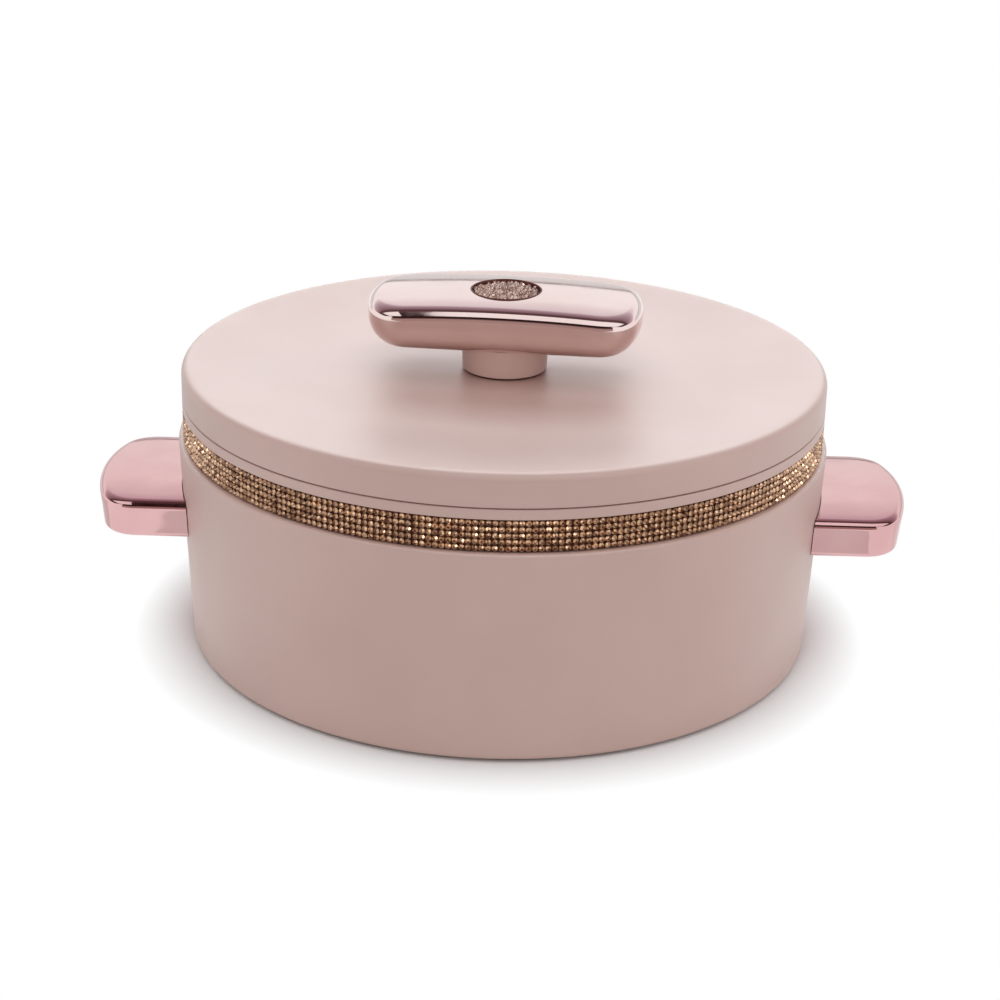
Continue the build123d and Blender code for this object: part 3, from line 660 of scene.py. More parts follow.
def vary_colour(material, source, dark, light, low=0.35, high=0.65):
    """Base colour that runs from dark to light as the source runs from low to high."""
    ramp = add_node(material, "ShaderNodeValToRGB")
    ramp.color_ramp.elements[0].position = low
    ramp.color_ramp.elements[1].position = high
    ramp.color_ramp.elements[0].color = (*dark, 1)
    ramp.color_ramp.elements[1].color = (*light, 1)
    join(material, source, ramp.inputs["Fac"])
    join(material, ramp.outputs["Color"], shader_of(material).inputs["Base Color"])


def vary_roughness(material, source, smooth, rough):
    """Roughness that runs from smooth to rough with the source."""
    spread = add_node(material, "ShaderNodeMapRange")
    spread.inputs["From Min"].default_value = NOISE_LOW
    spread.inputs["From Max"].default_value = NOISE_HIGH
    spread.inputs["To Min"].default_value = smooth
    spread.inputs["To Max"].default_value = rough
    join(material, source, spread.inputs["Value"])
    join(material, spread.outputs["Result"], shader_of(material).inputs["Roughness"])


def add_relief(material, source, depth, strength=1.0):
    """Bump of a depth in metres from the source, on top of any bump already there."""
    bump = add_node(material, "ShaderNodeBump")
    bump.inputs["Distance"].default_value = depth
    bump.inputs["Strength"].default_value = strength
    normal = shader_of(material).inputs["Normal"]
    if normal.is_linked:
        join(material, normal.links[0].from_socket, bump.inputs["Normal"])
    join(material, source, bump.inputs["Height"])
    join(material, bump.outputs["Normal"], normal)


def plain_finish(name, dark, light, cloud, grain, depth, roughness, **constants):
    """A moulded or cast finish: clouded colour, uneven roughness and a fine grain."""
    material = new_finish(name, **constants)
    vary_colour(material, noise(material, cloud), dark, light)
    vary_roughness(material, noise(material, cloud / ROUGHNESS_FINENESS), *roughness)
    add_relief(material, noise(material, grain), depth)
    return material


def plating(name, dark, light):
    """Bright plating over moulded plastic, with a slow waviness from the moulding under it."""
    material = plain_finish(
        name, dark, light,
        cloud=22 * MM, grain=0.9 * MM, depth=0.0008 * MM, roughness=(0.05, 0.10), Metallic=1.0,
    )
    add_relief(material, noise(material, 14 * MM, detail=1.0), 0.02 * MM)
    return material


def stone_foil(name, dark, light):
    """Foiled stones: a colour per facet from its tint, which holds random tone and painted light,
    under a clear bright face.
    """
    material = new_finish(name, Metallic=0.7, Coat_Weight=0.15, Coat_Roughness=0.08)
    # The tint attribute holds painted glints on crowns and painted shade and reflection on tables
    # and girdles.
    tint = add_node(material, "ShaderNodeAttribute", attribute_name="tint")
    vary_colour(material, tint.outputs["Fac"], dark, light, 0.0, 1.0)
    vary_roughness(material, noise(material, 1.5 * MM), 0.12, 0.24)
    add_relief(material, noise(material, 0.4 * MM), 0.002 * MM)
    return material


def turned_metal(name, dark, light, cloud, pitch, depth, roughness):
    """Metal with fine rings from spinning or turning it."""
    material = new_finish(name, Metallic=1.0)
    marks = turning_marks(material, pitch)
    vary_colour(material, noise(material, cloud), dark, light)
    vary_roughness(material, marks, *roughness)
    add_relief(material, marks, depth)
    return material


def shade_of(tint, share):
    """A colour a little darker than another."""
    return [channel * share for channel in tint]


def finish(make):
    """Decorator: the function makes the material that bears its name, on first use alone."""

    def kept():
        name = make.__name__
        return bpy.data.materials.get(name) or make(name, bpy.context.scene.casserole_colours)

    return kept


@finish
def matte_rose_plastic(name, colours):
    constants = {"Coat_Weight": 1.0, "Coat_Roughness": 0.46, "Coat_IOR": 1.5}
    dark, light = colours.shell_shade, colours.shell
    return plain_finish(
        name, dark, light,
        cloud=60 * MM, grain=0.45 * MM, depth=0.006 * MM, roughness=(0.46, 0.54), **constants
    )


@finish
def handle_plating(name, colours):
    return plating(name, colours.plating_shade, colours.plating)


@finish
def knob_plating(name, colours):
    return plating(name, colours.knob_plating_shade, colours.knob_plating)


@finish
def champagne_foil(name, colours):
    return stone_foil(name, colours.stone_dark, colours.stone_light)


@finish
def cream_foil(name, colours):
    return stone_foil(name, colours.inlay_dark, colours.inlay_light)


@finish
def bronzed_mesh(name, colours):
    dark = shade_of(colours.mesh, 0.6)
    return plain_finish(
        name, dark, colours.mesh,
        cloud=2 * MM, grain=0.5 * MM, depth=0.02 * MM, roughness=(0.4, 0.6), Metallic=0.7,
    )


@finish
def bronzed_rim(name, colours):
    light = colours.inlay_rim
    dark = shade_of(light, 0.8)
    return plain_finish(
        name, dark, light,
        cloud=4 * MM, grain=0.3 * MM, depth=0.004 * MM, roughness=(0.3, 0.45), Metallic=0.8,
    )


@finish
def spun_steel(name, colours):
    dark = shade_of(colours.steel, 0.9)
    return turned_metal(
        name, dark, colours.steel,
        cloud=40 * MM, pitch=0.35 * MM, depth=0.003 * MM, roughness=(0.22, 0.34),
    )


@finish
def foot_rubber(name, colours):
    dark = shade_of(colours.rubber, 0.8)
    return plain_finish(
        name, dark, colours.rubber,
        cloud=6 * MM, grain=0.3 * MM, depth=0.01 * MM, roughness=(0.6, 0.75),
    )


@finish
def gasket_rubber(name, colours):
    dark = shade_of(colours.gasket, 0.8)
    return plain_finish(
        name, dark, colours.gasket,
        cloud=6 * MM, grain=0.3 * MM, depth=0.01 * MM, roughness=(0.6, 0.75),
    )


@finish
def seal_silicone(name, colours):
    dark = shade_of(colours.silicone, 0.93)
    return plain_finish(
        name, dark, colours.silicone,
        cloud=12 * MM, grain=0.6 * MM, depth=0.004 * MM, roughness=(0.38, 0.5),
    )


@finish
def rigid_foam(name, colours):
    dark = shade_of(colours.foam, 0.85)
    return plain_finish(
        name, dark, colours.foam,
        cloud=8 * MM, grain=0.9 * MM, depth=0.08 * MM, roughness=(0.85, 0.95),
    )


@finish
def natural_plastic(name, colours):
    dark = shade_of(colours.core, 0.94)
    return plain_finish(
        name, dark, colours.core,
        cloud=10 * MM, grain=0.4 * MM, depth=0.006 * MM, roughness=(0.4, 0.55),
    )


@finish
def zinc_plate(name, colours):
    dark = shade_of(colours.zinc, 0.8)
    return plain_finish(
        name, dark, colours.zinc,
        cloud=2 * MM, grain=0.2 * MM, depth=0.003 * MM, roughness=(0.24, 0.4), Metallic=1.0,
    )


@finish
def turned_brass(name, colours):
    dark = shade_of(colours.brass, 0.85)
    return turned_metal(
        name, dark, colours.brass,
        cloud=4 * MM, pitch=0.2 * MM, depth=0.004 * MM, roughness=(0.2, 0.32),
    )


# ---------------------------------------------------------------- shared shapes
def body_radius(height):
    """Outside radius of the tapering body at a height."""
    shell = bpy.context.scene.casserole_shell
    shoulder = BODY_HIGH.z - shell.shoulder_drop
    rise = (height - BODY_LOW.z) / (shoulder - BODY_LOW.z)
    return shell.rim_radius + shell.shoulder_overhang - shell.body_taper * (1 - rise)


def bowed_corner(reach, half_width, end_radius, corner):
    """Centre of a bowed end, centre of its upper corner, and the angle at which the two meet."""
    bow_centre = reach - end_radius
    across = half_width - corner
    along = math.sqrt((end_radius - corner) ** 2 - across**2)
    return bow_centre, Vector((bow_centre + along, across)), math.atan2(across, along)


def arc(centre, radius, start, stop, steps):
    """Points on an arc about a centre, without its last one."""
    x, y = centre
    angles = [start + (stop - start) * step / steps for step in range(steps)]
    return [Vector((x + radius * math.cos(a), y + radius * math.sin(a))) for a in angles]


def straight(start, stop, steps):
    """Points on a straight run, without its last one."""
    return [start.lerp(stop, step / steps) for step in range(steps)]


def round_over(radius, steps):
    """(inset, drop) pairs of a rounded edge, from the flat outer face up onto the top."""
    pairs = []
    for step in range(steps + 1):
        inset = radius * (1 - math.cos(math.pi / 2 * step / steps))
        pairs.append((inset, radius - math.sqrt(radius**2 - (radius - inset) ** 2)))
    return pairs


# ---------------------------------------------------------------- body operators
class AddBody(bpy.types.Operator):
    """Turn the tapering outer body with its recessed neck"""

    bl_idname = "casserole.add_body"
    bl_label = "Outer body"

    def execute(self, context):
        shell = context.scene.casserole_shell
        shoulder = BODY_HIGH.z - shell.shoulder_drop
        shoulder_radius = body_radius(shoulder)
        base_radius = body_radius(BODY_LOW.z)
        neck_radius = shell.rim_radius - shell.neck_recess
        neck_bore = neck_radius - shell.neck_wall
        floor_top = BASE_PLATE_HIGH.z + shell.body_wall
        ledge = shoulder - shell.body_wall
        body = turn_piece(
            "body_shell",
            [
                (0, BASE_PLATE_HIGH.z),
                (base_radius - shell.body_wall, BASE_PLATE_HIGH.z),
                (base_radius - shell.body_wall, BODY_LOW.z),
                (base_radius, BODY_LOW.z),
                (shoulder_radius, shoulder),
                (neck_radius, shoulder),
                (neck_radius, BODY_HIGH.z),
                (neck_bore, BODY_HIGH.z),
                (neck_bore, ledge),
                (body_radius(ledge) - shell.body_wall, ledge),
                (body_radius(floor_top) - shell.body_wall, floor_top),
                (0, floor_top),
            ],
        )
        round_rings(body, [(base_radius, BODY_LOW.z)], shell.base_round, segments=8)
        round_rings(body, [(shoulder_radius, shoulder)], shell.shoulder_round, segments=5)
        settle(body)
        hand_over(body, "body", "matte_shell", matte_rose_plastic(), "outer_body")
        return {"FINISHED"}


class AddCollar(bpy.types.Operator):
    """Turn the collar that closes the rim between bowl and body"""

    bl_idname = "casserole.add_collar"
    bl_label = "Rim collar"

    def execute(self, context):
        shell = context.scene.casserole_shell
        bowl = context.scene.casserole_bowl
        top = COLLAR_HIGH.z
        underside = top - shell.collar_height
        flange_seat = BOWL_HIGH.x + shell.fit_gap
        bore = bowl.mouth_radius + bowl.sheet + shell.fit_gap
        skirt_radius = shell.rim_radius - shell.neck_recess - shell.neck_wall - shell.fit_gap
        skirt_bore = skirt_radius - shell.collar_skirt_wall
        collar = turn_piece(
            "rim_ring",
            [
                (shell.rim_radius, underside),
                (shell.rim_radius, top),
                (flange_seat, top),
                (flange_seat, top - bowl.sheet),
                (bore, top - bowl.sheet),
                (bore, underside),
                (skirt_bore, underside),
                (skirt_bore, COLLAR_LOW.z),
                (skirt_radius, COLLAR_LOW.z),
                (skirt_radius, underside),
                (shell.rim_radius, underside),
            ],
        )
        edges = [(shell.rim_radius, underside), (shell.rim_radius, top)]
        round_rings(collar, edges, shell.collar_round, segments=4)
        settle(collar)
        hand_over(collar, "body", "matte_shell", matte_rose_plastic(), "rim_collar")
        return {"FINISHED"}


class AddBowl(bpy.types.Operator):
    """Turn the steel bowl with its flange"""

    bl_idname = "casserole.add_bowl"
    bl_label = "Inner bowl"

    def execute(self, context):
        bowl = context.scene.casserole_bowl
        mouth = bowl.mouth_radius
        floor_radius = mouth - bowl.taper
        floor = BOWL_LOW.z + bowl.sheet
        piece = turn_piece(
            "steel_bowl",
            [
                (0, floor),
                (floor_radius, floor),
                (mouth, BOWL_HIGH.z),
                (BOWL_HIGH.x, BOWL_HIGH.z),
                (BOWL_HIGH.x, BOWL_HIGH.z - bowl.sheet),
                (mouth + bowl.sheet, BOWL_HIGH.z - bowl.sheet),
                (floor_radius + bowl.sheet, BOWL_LOW.z),
                (0, BOWL_LOW.z),
            ],
        )
        round_rings(piece, [(floor_radius, floor)], bowl.corner, segments=12)
        underside = [(floor_radius + bowl.sheet, BOWL_LOW.z)]
        round_rings(piece, underside, bowl.corner + bowl.sheet, segments=12)
        round_rings(piece, [(mouth, BOWL_HIGH.z)], bowl.sheet / 2, segments=3)
        settle(piece)
        hand_over(piece, "body", "stainless_steel", spun_steel(), "inner_bowl")
        return {"FINISHED"}


class AddStoneBand(bpy.types.Operator):
    """Set rows of small faceted stones on a mesh strip in the neck's recess"""

    bl_idname = "casserole.add_stone_band"
    bl_label = "Stone band"

    def execute(self, context):
        stones = context.scene.casserole_stones
        strip = turn_piece(
            "mesh_strip",
            [
                (STRIP_HIGH.x, STRIP_LOW.z),
                (STRIP_HIGH.x, STRIP_HIGH.z),
                (STRIP_HIGH.x - STRIP_WALL, STRIP_HIGH.z),
                (STRIP_HIGH.x - STRIP_WALL, STRIP_LOW.z),
                (STRIP_HIGH.x, STRIP_LOW.z),
            ],
        )
        settle(strip)
        hand_over(strip, "body", "stone_mesh", bronzed_mesh(), "band_strip")

        pitch = (BAND_HIGH.z - BAND_LOW.z) / stones.rows
        stone_height = BAND_HIGH.x - STRIP_HIGH.x
        template = cut_stone(pitch / 2 * STONE_FILL, stone_height - STONE_SINK, stones.table_share)
        rng = random.Random(stones.seed)
        per_section = stones.per_row / stones.sections
        seam_turn = stones.seam / STRIP_HIGH.x
        matrices = []
        for column in range(stones.per_row):
            within = (column % per_section) / per_section
            turn = 2 * math.pi * column / stones.per_row + seam_turn * (0.5 - within)
            for row in range(stones.rows):
                height = BAND_LOW.z + pitch * (row + 0.5)
                tilt = lean(rng, stones.tilt)
                spin = Matrix.Rotation(rng.uniform(-1, 1) * STONE_SPIN, 4, "Z")
                lift = Matrix.Translation((STRIP_HIGH.x, 0, height))
                place = Matrix.Rotation(turn, 4, "Z") @ lift
                matrices.append(place @ Matrix.Rotation(math.pi / 2, 4, "Y") @ tilt @ spin)
        kinds = facet_kinds(template)
        band = gather("stone_rows", template, matrices)
        # Painted light on the stones: painted glints on crowns, painted reflection and shade on
        # tables and girdles.
        tint_facets(band, kinds, rng)
        hand_over(band, "body", "stones", champagne_foil(), "stone_band")
        return {"FINISHED"}


def cut_stone(radius, height, table_share):
    """A low faceted stone that stands on the origin: girdle, crown facets and a flat table."""
    start_clean()
    girdle = height * GIRDLE_SHARE
    bpy.ops.mesh.primitive_cone_add(
        vertices=STONE_SIDES,
        radius1=radius,
        radius2=radius * table_share,
        depth=height - girdle,
        end_fill_type="NGON",
        location=(0, 0, girdle + (height - girdle) / 2),
        rotation=(0, 0, math.pi / STONE_SIDES),
    )
    stone = bpy.context.active_object
    bpy.ops.object.transform_apply(location=True, rotation=True)
    enter_edit(stone)
    select_level_faces(stone, -1)
    bpy.ops.mesh.extrude_region_move(TRANSFORM_OT_translate={"value": (0, 0, -girdle)})
    start_clean()
    return stone


def tint_facets(piece, kinds, rng):
    """Give each stone of a gathered piece its own tint with painted light: painted glints on the
    facets of its crown, a painted dark reflection on its table and painted shade on its girdle.
    """
    painted_light_tints = piece.data.attributes.new("tint", "FLOAT", "FACE")
    copies = len(piece.data.polygons) // len(kinds)
    values = []
    for _ in range(copies):
        stone = rng.uniform(-STONE_SPREAD, STONE_SPREAD)
        for kind in kinds:
            facet = rng.uniform(*CROWN_TONE_AND_PAINTED_GLINTS) if kind == "crown" else TABLE_AND_GIRDLE_PAINTED_DARK[kind]
            values.append(min(1, max(0, facet + stone)))
    painted_light_tints.data.foreach_set("value", values)


def facet_kinds(stone):
    """What each face of a cut stone is, in order: table, crown or girdle."""
    kinds = []
    for face in stone.data.polygons:
        if face.normal.z > TABLE_NORMAL:
            kinds.append("table")
        elif face.normal.z > CROWN_NORMAL:
            kinds.append("crown")
        else:
            kinds.append("girdle")
    return kinds


class AddSideHandles(bpy.types.Operator):
    """Stack the crowned, drafted side handles against the body"""

    bl_idname = "casserole.add_side_handles"
    bl_label = "Side handles"

    def outline(self, handle, inset, height):
        """Ring round a handle at an inset and a height: side, end, other side and wall."""
        fit_gap = bpy.context.scene.casserole_shell.fit_gap
        half = handle.half_width - inset
        root = body_radius(height) + fit_gap
        bow, corner, meet = bowed_corner(
            handle.reach, handle.half_width, handle.end_radius, handle.corner
        )
        rounding = handle.corner - inset
        start = Vector((math.sqrt(root**2 - half**2), -half))
        points = straight(start, Vector((corner.x, -half)), HANDLE_SIDE_STEPS)
        points += arc((corner.x, -corner.y), rounding, -math.pi / 2, -meet, HANDLE_CORNER_STEPS)
        points += arc((bow, 0), handle.end_radius - inset, -meet, meet, HANDLE_BOW_STEPS)
        points += arc(corner, rounding, meet, math.pi / 2, HANDLE_CORNER_STEPS)
        points += straight(Vector((corner.x, half)), Vector((start.x, half)), HANDLE_SIDE_STEPS)
        root_angle = math.asin(half / root)
        points += arc((0, 0), root, root_angle, -root_angle, HANDLE_ROOT_STEPS)
        return points

    def execute(self, context):
        handle = context.scene.casserole_handle
        crown_radius = handle.half_width**2 / (2 * handle.crown_drop)
        top = HANDLE_HIGH.z
        bottom = top - handle.thickness

        def crown(point):
            return top - point.y**2 / (2 * crown_radius)

        def drafted(height):
            return (top - height) * math.tan(handle.draft)

        rings = []
        for inset, drop in reversed(round_over(handle.bottom_round, HANDLE_BOTTOM_LEVELS)):
            height = bottom + drop
            flat = self.outline(handle, inset + drafted(height), height)
            rings.append([Vector((p.x, p.y, height)) for p in flat])
        side_low = bottom + handle.bottom_round
        side_high = top - handle.crown_drop - handle.top_round
        for step in range(1, HANDLE_SIDE_LEVELS):
            height = side_low + (side_high - side_low) * step / HANDLE_SIDE_LEVELS
            flat = self.outline(handle, drafted(height), height)
            rings.append([Vector((p.x, p.y, height)) for p in flat])
        for inset, drop in round_over(handle.top_round, HANDLE_TOP_LEVELS):
            flat = self.outline(handle, inset + drafted(top - drop), top - drop)
            rings.append([Vector((p.x, p.y, crown(p) - drop)) for p in flat])
        rim = rings[-1]
        middle = Vector(((rim[0].x + handle.reach) / 2, 0, 0))
        for step in range(1, HANDLE_CROWN_LEVELS + 1):
            inner = [p.lerp(middle, step / HANDLE_CROWN_LEVELS) for p in rim]
            rings.append([Vector((p.x, p.y, crown(p))) for p in inner])
        base = Vector((middle.x, 0, bottom))
        rings = [[p.lerp(base, share) for p in rings[0]] for share in HANDLE_UNDERSIDE] + rings

        for side, factor in (("right", 1), ("left", -1)):
            mirrored = [[Vector((factor * p.x, p.y, p.z)) for p in ring] for ring in rings]
            piece = stack_rings(f"handle_housing_{side}", mirrored)
            settle(piece)
            hand_over(piece, "body", "rose_gold_plate", handle_plating(), f"handle_shell_{side}")
        return {"FINISHED"}


class AddBase(bpy.types.Operator):
    """Make the rubber feet and the screws of the base cover"""

    bl_idname = "casserole.add_base"
    bl_label = "Feet and base screws"

    def execute(self, context):
        circle = (FEET_HIGH.x - FOOT_RADIUS) * math.sqrt(2)
        foot = turn_piece(
            "foot_template",
            [
                (0, FOOT_DIMPLE),
                (FOOT_RADIUS - FOOT_LIP, FOOT_DIMPLE),
                (FOOT_RADIUS - FOOT_LIP, 0),
                (FOOT_RADIUS, 0),
                (FOOT_RADIUS, FEET_HIGH.z),
                (0, FEET_HIGH.z),
            ],
            FOOT_SEGMENTS,
        )
        round_rings(foot, [(FOOT_RADIUS, 0)], FOOT_ROUND, segments=4)
        settle(foot)
        shift = Matrix.Translation((circle, 0, 0))
        feet = gather("foot_pads", foot, [turn @ shift for turn in quarter_turns(math.pi / 4)])
        settle(feet)
        hand_over(feet, "body", "rubber", foot_rubber(), "rubber_feet")

        screw_circle = BASE_SCREW_HIGH.x - BASE_SCREW_HEAD
        length_below = BASE_SCREW_HIGH.z - BASE_SCREW_LOW.z
        screw = turn_piece(
            "screw_template",
            [
                (0, 0),
                (BASE_SCREW_HEAD, 0),
                (BASE_SCREW_SHANK, BASE_SCREW_CONE),
                (BASE_SCREW_SHANK, length_below),
                (0, length_below),
            ],
            SCREW_SEGMENTS,
        )
        cross_recess(screw, BASE_SCREW_HEAD)
        settle(screw)
        lift = Matrix.Translation((screw_circle, 0, BASE_SCREW_LOW.z))
        screws = gather("base_cover_screws", screw, [turn @ lift for turn in quarter_turns()])
        settle(screws)
        hand_over(screws, "body", "fastener_steel", zinc_plate(), "base_screws")
        return {"FINISHED"}


def cross_recess(screw, head_radius):
    """Sink a cross for the driver into the head of a screw that stands on it at the origin."""
    for turn in (0, math.pi / 2):
        start_clean()
        bpy.ops.mesh.primitive_cube_add(size=1, rotation=(0, 0, turn))
        slot = bpy.context.active_object
        slot.scale = (
            2 * RECESS_SHARE * head_radius,
            2 * RECESS_WIDTH_SHARE * head_radius,
            2 * RECESS_DEPTH,
        )
        bpy.ops.object.transform_apply(location=True, rotation=True, scale=True)
        enter_edit(slot)
        select_level_faces(slot, 1)
        bpy.ops.transform.resize(value=(RECESS_TAPER, RECESS_TAPER, 1), center_override=(0, 0, 0))
        start_clean()
        cut_with(screw, slot)


# ---------------------------------------------------------------- lid operators
class AddLid(bpy.types.Operator):
    """Turn the lid's cover with its raised rim and shallow dish"""

    bl_idname = "casserole.add_lid"
    bl_label = "Lid cover"

    def execute(self, context):
        lid = context.scene.casserole_lid
        rim = context.scene.casserole_shell.rim_radius
        top = LID_HIGH.z
        flat = top - lid.dish_depth
        crest = rim - lid.edge_round - lid.crest_width
        dish = rim - lid.rim_band
        bore = rim - lid.wall
        cover = turn_piece(
            "lid_shell",
            [
                (0, flat - lid.wall),
                (dish, flat - lid.wall),
                (crest, top - lid.wall),
                (bore, top - lid.wall),
                (bore, LID_LOW.z),
                (rim, LID_LOW.z),
                (rim, top),
                (crest, top),
                (dish, flat),
                (0, flat),
            ],
        )
        slope = math.atan2(lid.dish_depth, crest - dish)
        round_rings(cover, [(rim, top)], lid.edge_round, segments=10)
        round_rings(cover, [(crest, top)], lid.crest_round * math.tan(slope / 2), segments=5)
        round_rings(cover, [(dish, flat)], lid.dish_round * math.tan(slope / 2), segments=12)
        round_rings(cover, [(rim, LID_LOW.z), (bore, LID_LOW.z)], lid.skirt_round, segments=3)
        settle(cover)
        hand_over(cover, "lid", "matte_shell", matte_rose_plastic(), "lid_cover")
        return {"FINISHED"}


class AddLidInside(bpy.types.Operator):
    """Turn the lid's steel liner and its silicone seal"""

    bl_idname = "casserole.add_lid_inside"
    bl_label = "Lid liner and seal"

    def execute(self, context):
        bowl = context.scene.casserole_bowl
        radius = bowl.mouth_radius - bowl.liner_clearance
        underside = LINER_HIGH.z - bowl.sheet
        liner = turn_piece(
            "steel_lid_liner",
            [
                (0, LINER_LOW.z),
                (radius, LINER_LOW.z),
                (radius, underside),
                (LINER_HIGH.x, underside),
                (LINER_HIGH.x, LINER_HIGH.z),
                (radius - bowl.sheet, LINER_HIGH.z),
                (radius - bowl.sheet, LINER_LOW.z + bowl.sheet),
                (0, LINER_LOW.z + bowl.sheet),
            ],
        )
        round_rings(liner, [(radius, LINER_LOW.z)], bowl.liner_corner + bowl.sheet, segments=8)
        inside = (radius - bowl.sheet, LINER_LOW.z + bowl.sheet)
        round_rings(liner, [inside], bowl.liner_corner, segments=8)
        settle(liner)
        hand_over(liner, "lid", "stainless_steel", spun_steel(), "lid_liner")

        outer = SEAL_HIGH.x
        inner = outer - SEAL_WIDTH
        seal = turn_piece(
            "silicone_seal",
            [
                (inner, SEAL_LOW.z),
                (outer, SEAL_LOW.z),
                (outer, SEAL_HIGH.z),
                (inner, SEAL_HIGH.z),
                (inner, SEAL_LOW.z),
            ],
        )
        corners = [(r, z) for r in (inner, outer) for z in (SEAL_LOW.z, SEAL_HIGH.z)]
        round_rings(seal, corners, bowl.seal_round, segments=5)
        settle(seal)
        hand_over(seal, "seal", "silicone", seal_silicone(), "lid_seal")
        return {"FINISHED"}


class AddStem(bpy.types.Operator):
    """Turn the stem under the knob's bar"""

    bl_idname = "casserole.add_stem"
    bl_label = "Knob stem"

    def execute(self, context):
        knob = context.scene.casserole_knob
        foot = knob.stem_radius - knob.stem_taper
        stem = turn_piece(
            "stem_post",
            [
                (0, STEM_LOW.z),
                (foot, STEM_LOW.z),
                (knob.stem_radius, STEM_HIGH.z),
                (0, STEM_HIGH.z),
            ],
            KNOB_SEGMENTS,
        )
        round_rings(stem, [(foot, STEM_LOW.z)], knob.stem_round, segments=4)
        settle(stem)
        hand_over(stem, "lid", "matte_shell", matte_rose_plastic(), "knob_stem")
        return {"FINISHED"}


class AddKnobBar(bpy.types.Operator):
    """Stack the crowned, rounded bar of the knob with its round seat and the opening underneath"""

    bl_idname = "casserole.add_knob_bar"
    bl_label = "Knob bar"

    def outline(self, knob, inset):
        """Ring round the bar at an inset, from the middle of the front side anticlockwise."""
        bow, corner, meet = bowed_corner(
            knob.half_length, knob.half_width, knob.end_radius, knob.corner
        )
        half = knob.half_width - inset
        rounding = knob.corner - inset
        points = straight(Vector((0, -half)), Vector((corner.x, -half)), BAR_SIDE_STEPS)
        points += arc((corner.x, -corner.y), rounding, -math.pi / 2, -meet, BAR_CORNER_STEPS)
        points += arc((bow, 0), knob.end_radius - inset, -meet, meet, BAR_BOW_STEPS)
        points += arc(corner, rounding, meet, math.pi / 2, BAR_CORNER_STEPS)
        points += straight(Vector((corner.x, half)), Vector((0, half)), BAR_SIDE_STEPS)
        return points + [-point for point in points]

    def execute(self, context):
        knob = context.scene.casserole_knob
        bottom = STEM_HIGH.z
        top = CUP_HIGH.z

        def crown(point):
            across = point.y**2 / (2 * knob.cross_crown)
            return top - across - point.x**2 / (2 * knob.long_crown)

        def level(points, height):
            return [Vector((p.x, p.y, height)) for p in points]

        floor_ring = self.outline(knob, knob.bottom_round)
        mouth = [point * opening_reach(point, knob) for point in floor_ring]
        ceiling = PLATE_HIGH.z + PLATE_ROOM
        centre = Vector((0, 0))
        rings = [level([p.lerp(centre, share) for p in mouth], ceiling) for share in BAR_CLOSING]
        rings.append(level(mouth, bottom))
        for inset, drop in reversed(round_over(knob.bottom_round, BAR_ROUND_LEVELS)):
            rings.append(level(self.outline(knob, inset), bottom + drop))
        edge = self.outline(knob, 0)
        side_low = bottom + knob.bottom_round
        for step in range(1, BAR_SIDE_LEVELS):
            share = step / BAR_SIDE_LEVELS
            sides = [side_low + (crown(p) - knob.top_round - side_low) * share for p in edge]
            rings.append([Vector((p.x, p.y, z)) for p, z in zip(edge, sides, strict=True)])
        for inset, drop in round_over(knob.top_round, BAR_ROUND_LEVELS):
            flat = self.outline(knob, inset)
            rings.append([Vector((p.x, p.y, crown(p) - drop)) for p in flat])
        seat_radius = CUP_HIGH.x + SEAT_GAP
        rim = self.outline(knob, knob.top_round)
        seat = [p.normalized() * seat_radius for p in rim]
        for step in range(1, BAR_CROWN_LEVELS + 1):
            inner = [p.lerp(q, step / BAR_CROWN_LEVELS) for p, q in zip(rim, seat, strict=True)]
            rings.append([Vector((p.x, p.y, crown(p))) for p in inner])
        for share in reversed(BAR_CLOSING):
            rings.append(level([p.lerp(centre, share) for p in seat], CUP_LOW.z))

        turn = Matrix.Rotation(knob.turn, 4, "Z")
        bar = stack_rings("knob_bar", [[turn @ p for p in ring] for ring in rings])
        settle(bar)
        hand_over(bar, "lid", "rose_gold_plate", knob_plating(), "knob_shell")
        return {"FINISHED"}


def opening_reach(direction, knob):
    """How far along a direction, as a share of it, the edge of the opening in the bar lies."""
    half_length = knob.opening_half_length
    half_width = knob.opening_half_width
    corner = knob.opening_corner
    x, y = abs(direction.x), abs(direction.y)
    share = min(half_length / max(x, POLE_RADIUS), half_width / max(y, POLE_RADIUS))
    inner_x, inner_y = half_length - corner, half_width - corner
    if x * share > inner_x and y * share > inner_y:
        along = Vector((x, y))
        centre = Vector((inner_x, inner_y))
        reach = along.dot(centre)
        root = reach**2 - along.length_squared * (centre.length_squared - corner**2)
        share = (reach + math.sqrt(root)) / along.length_squared
    return share


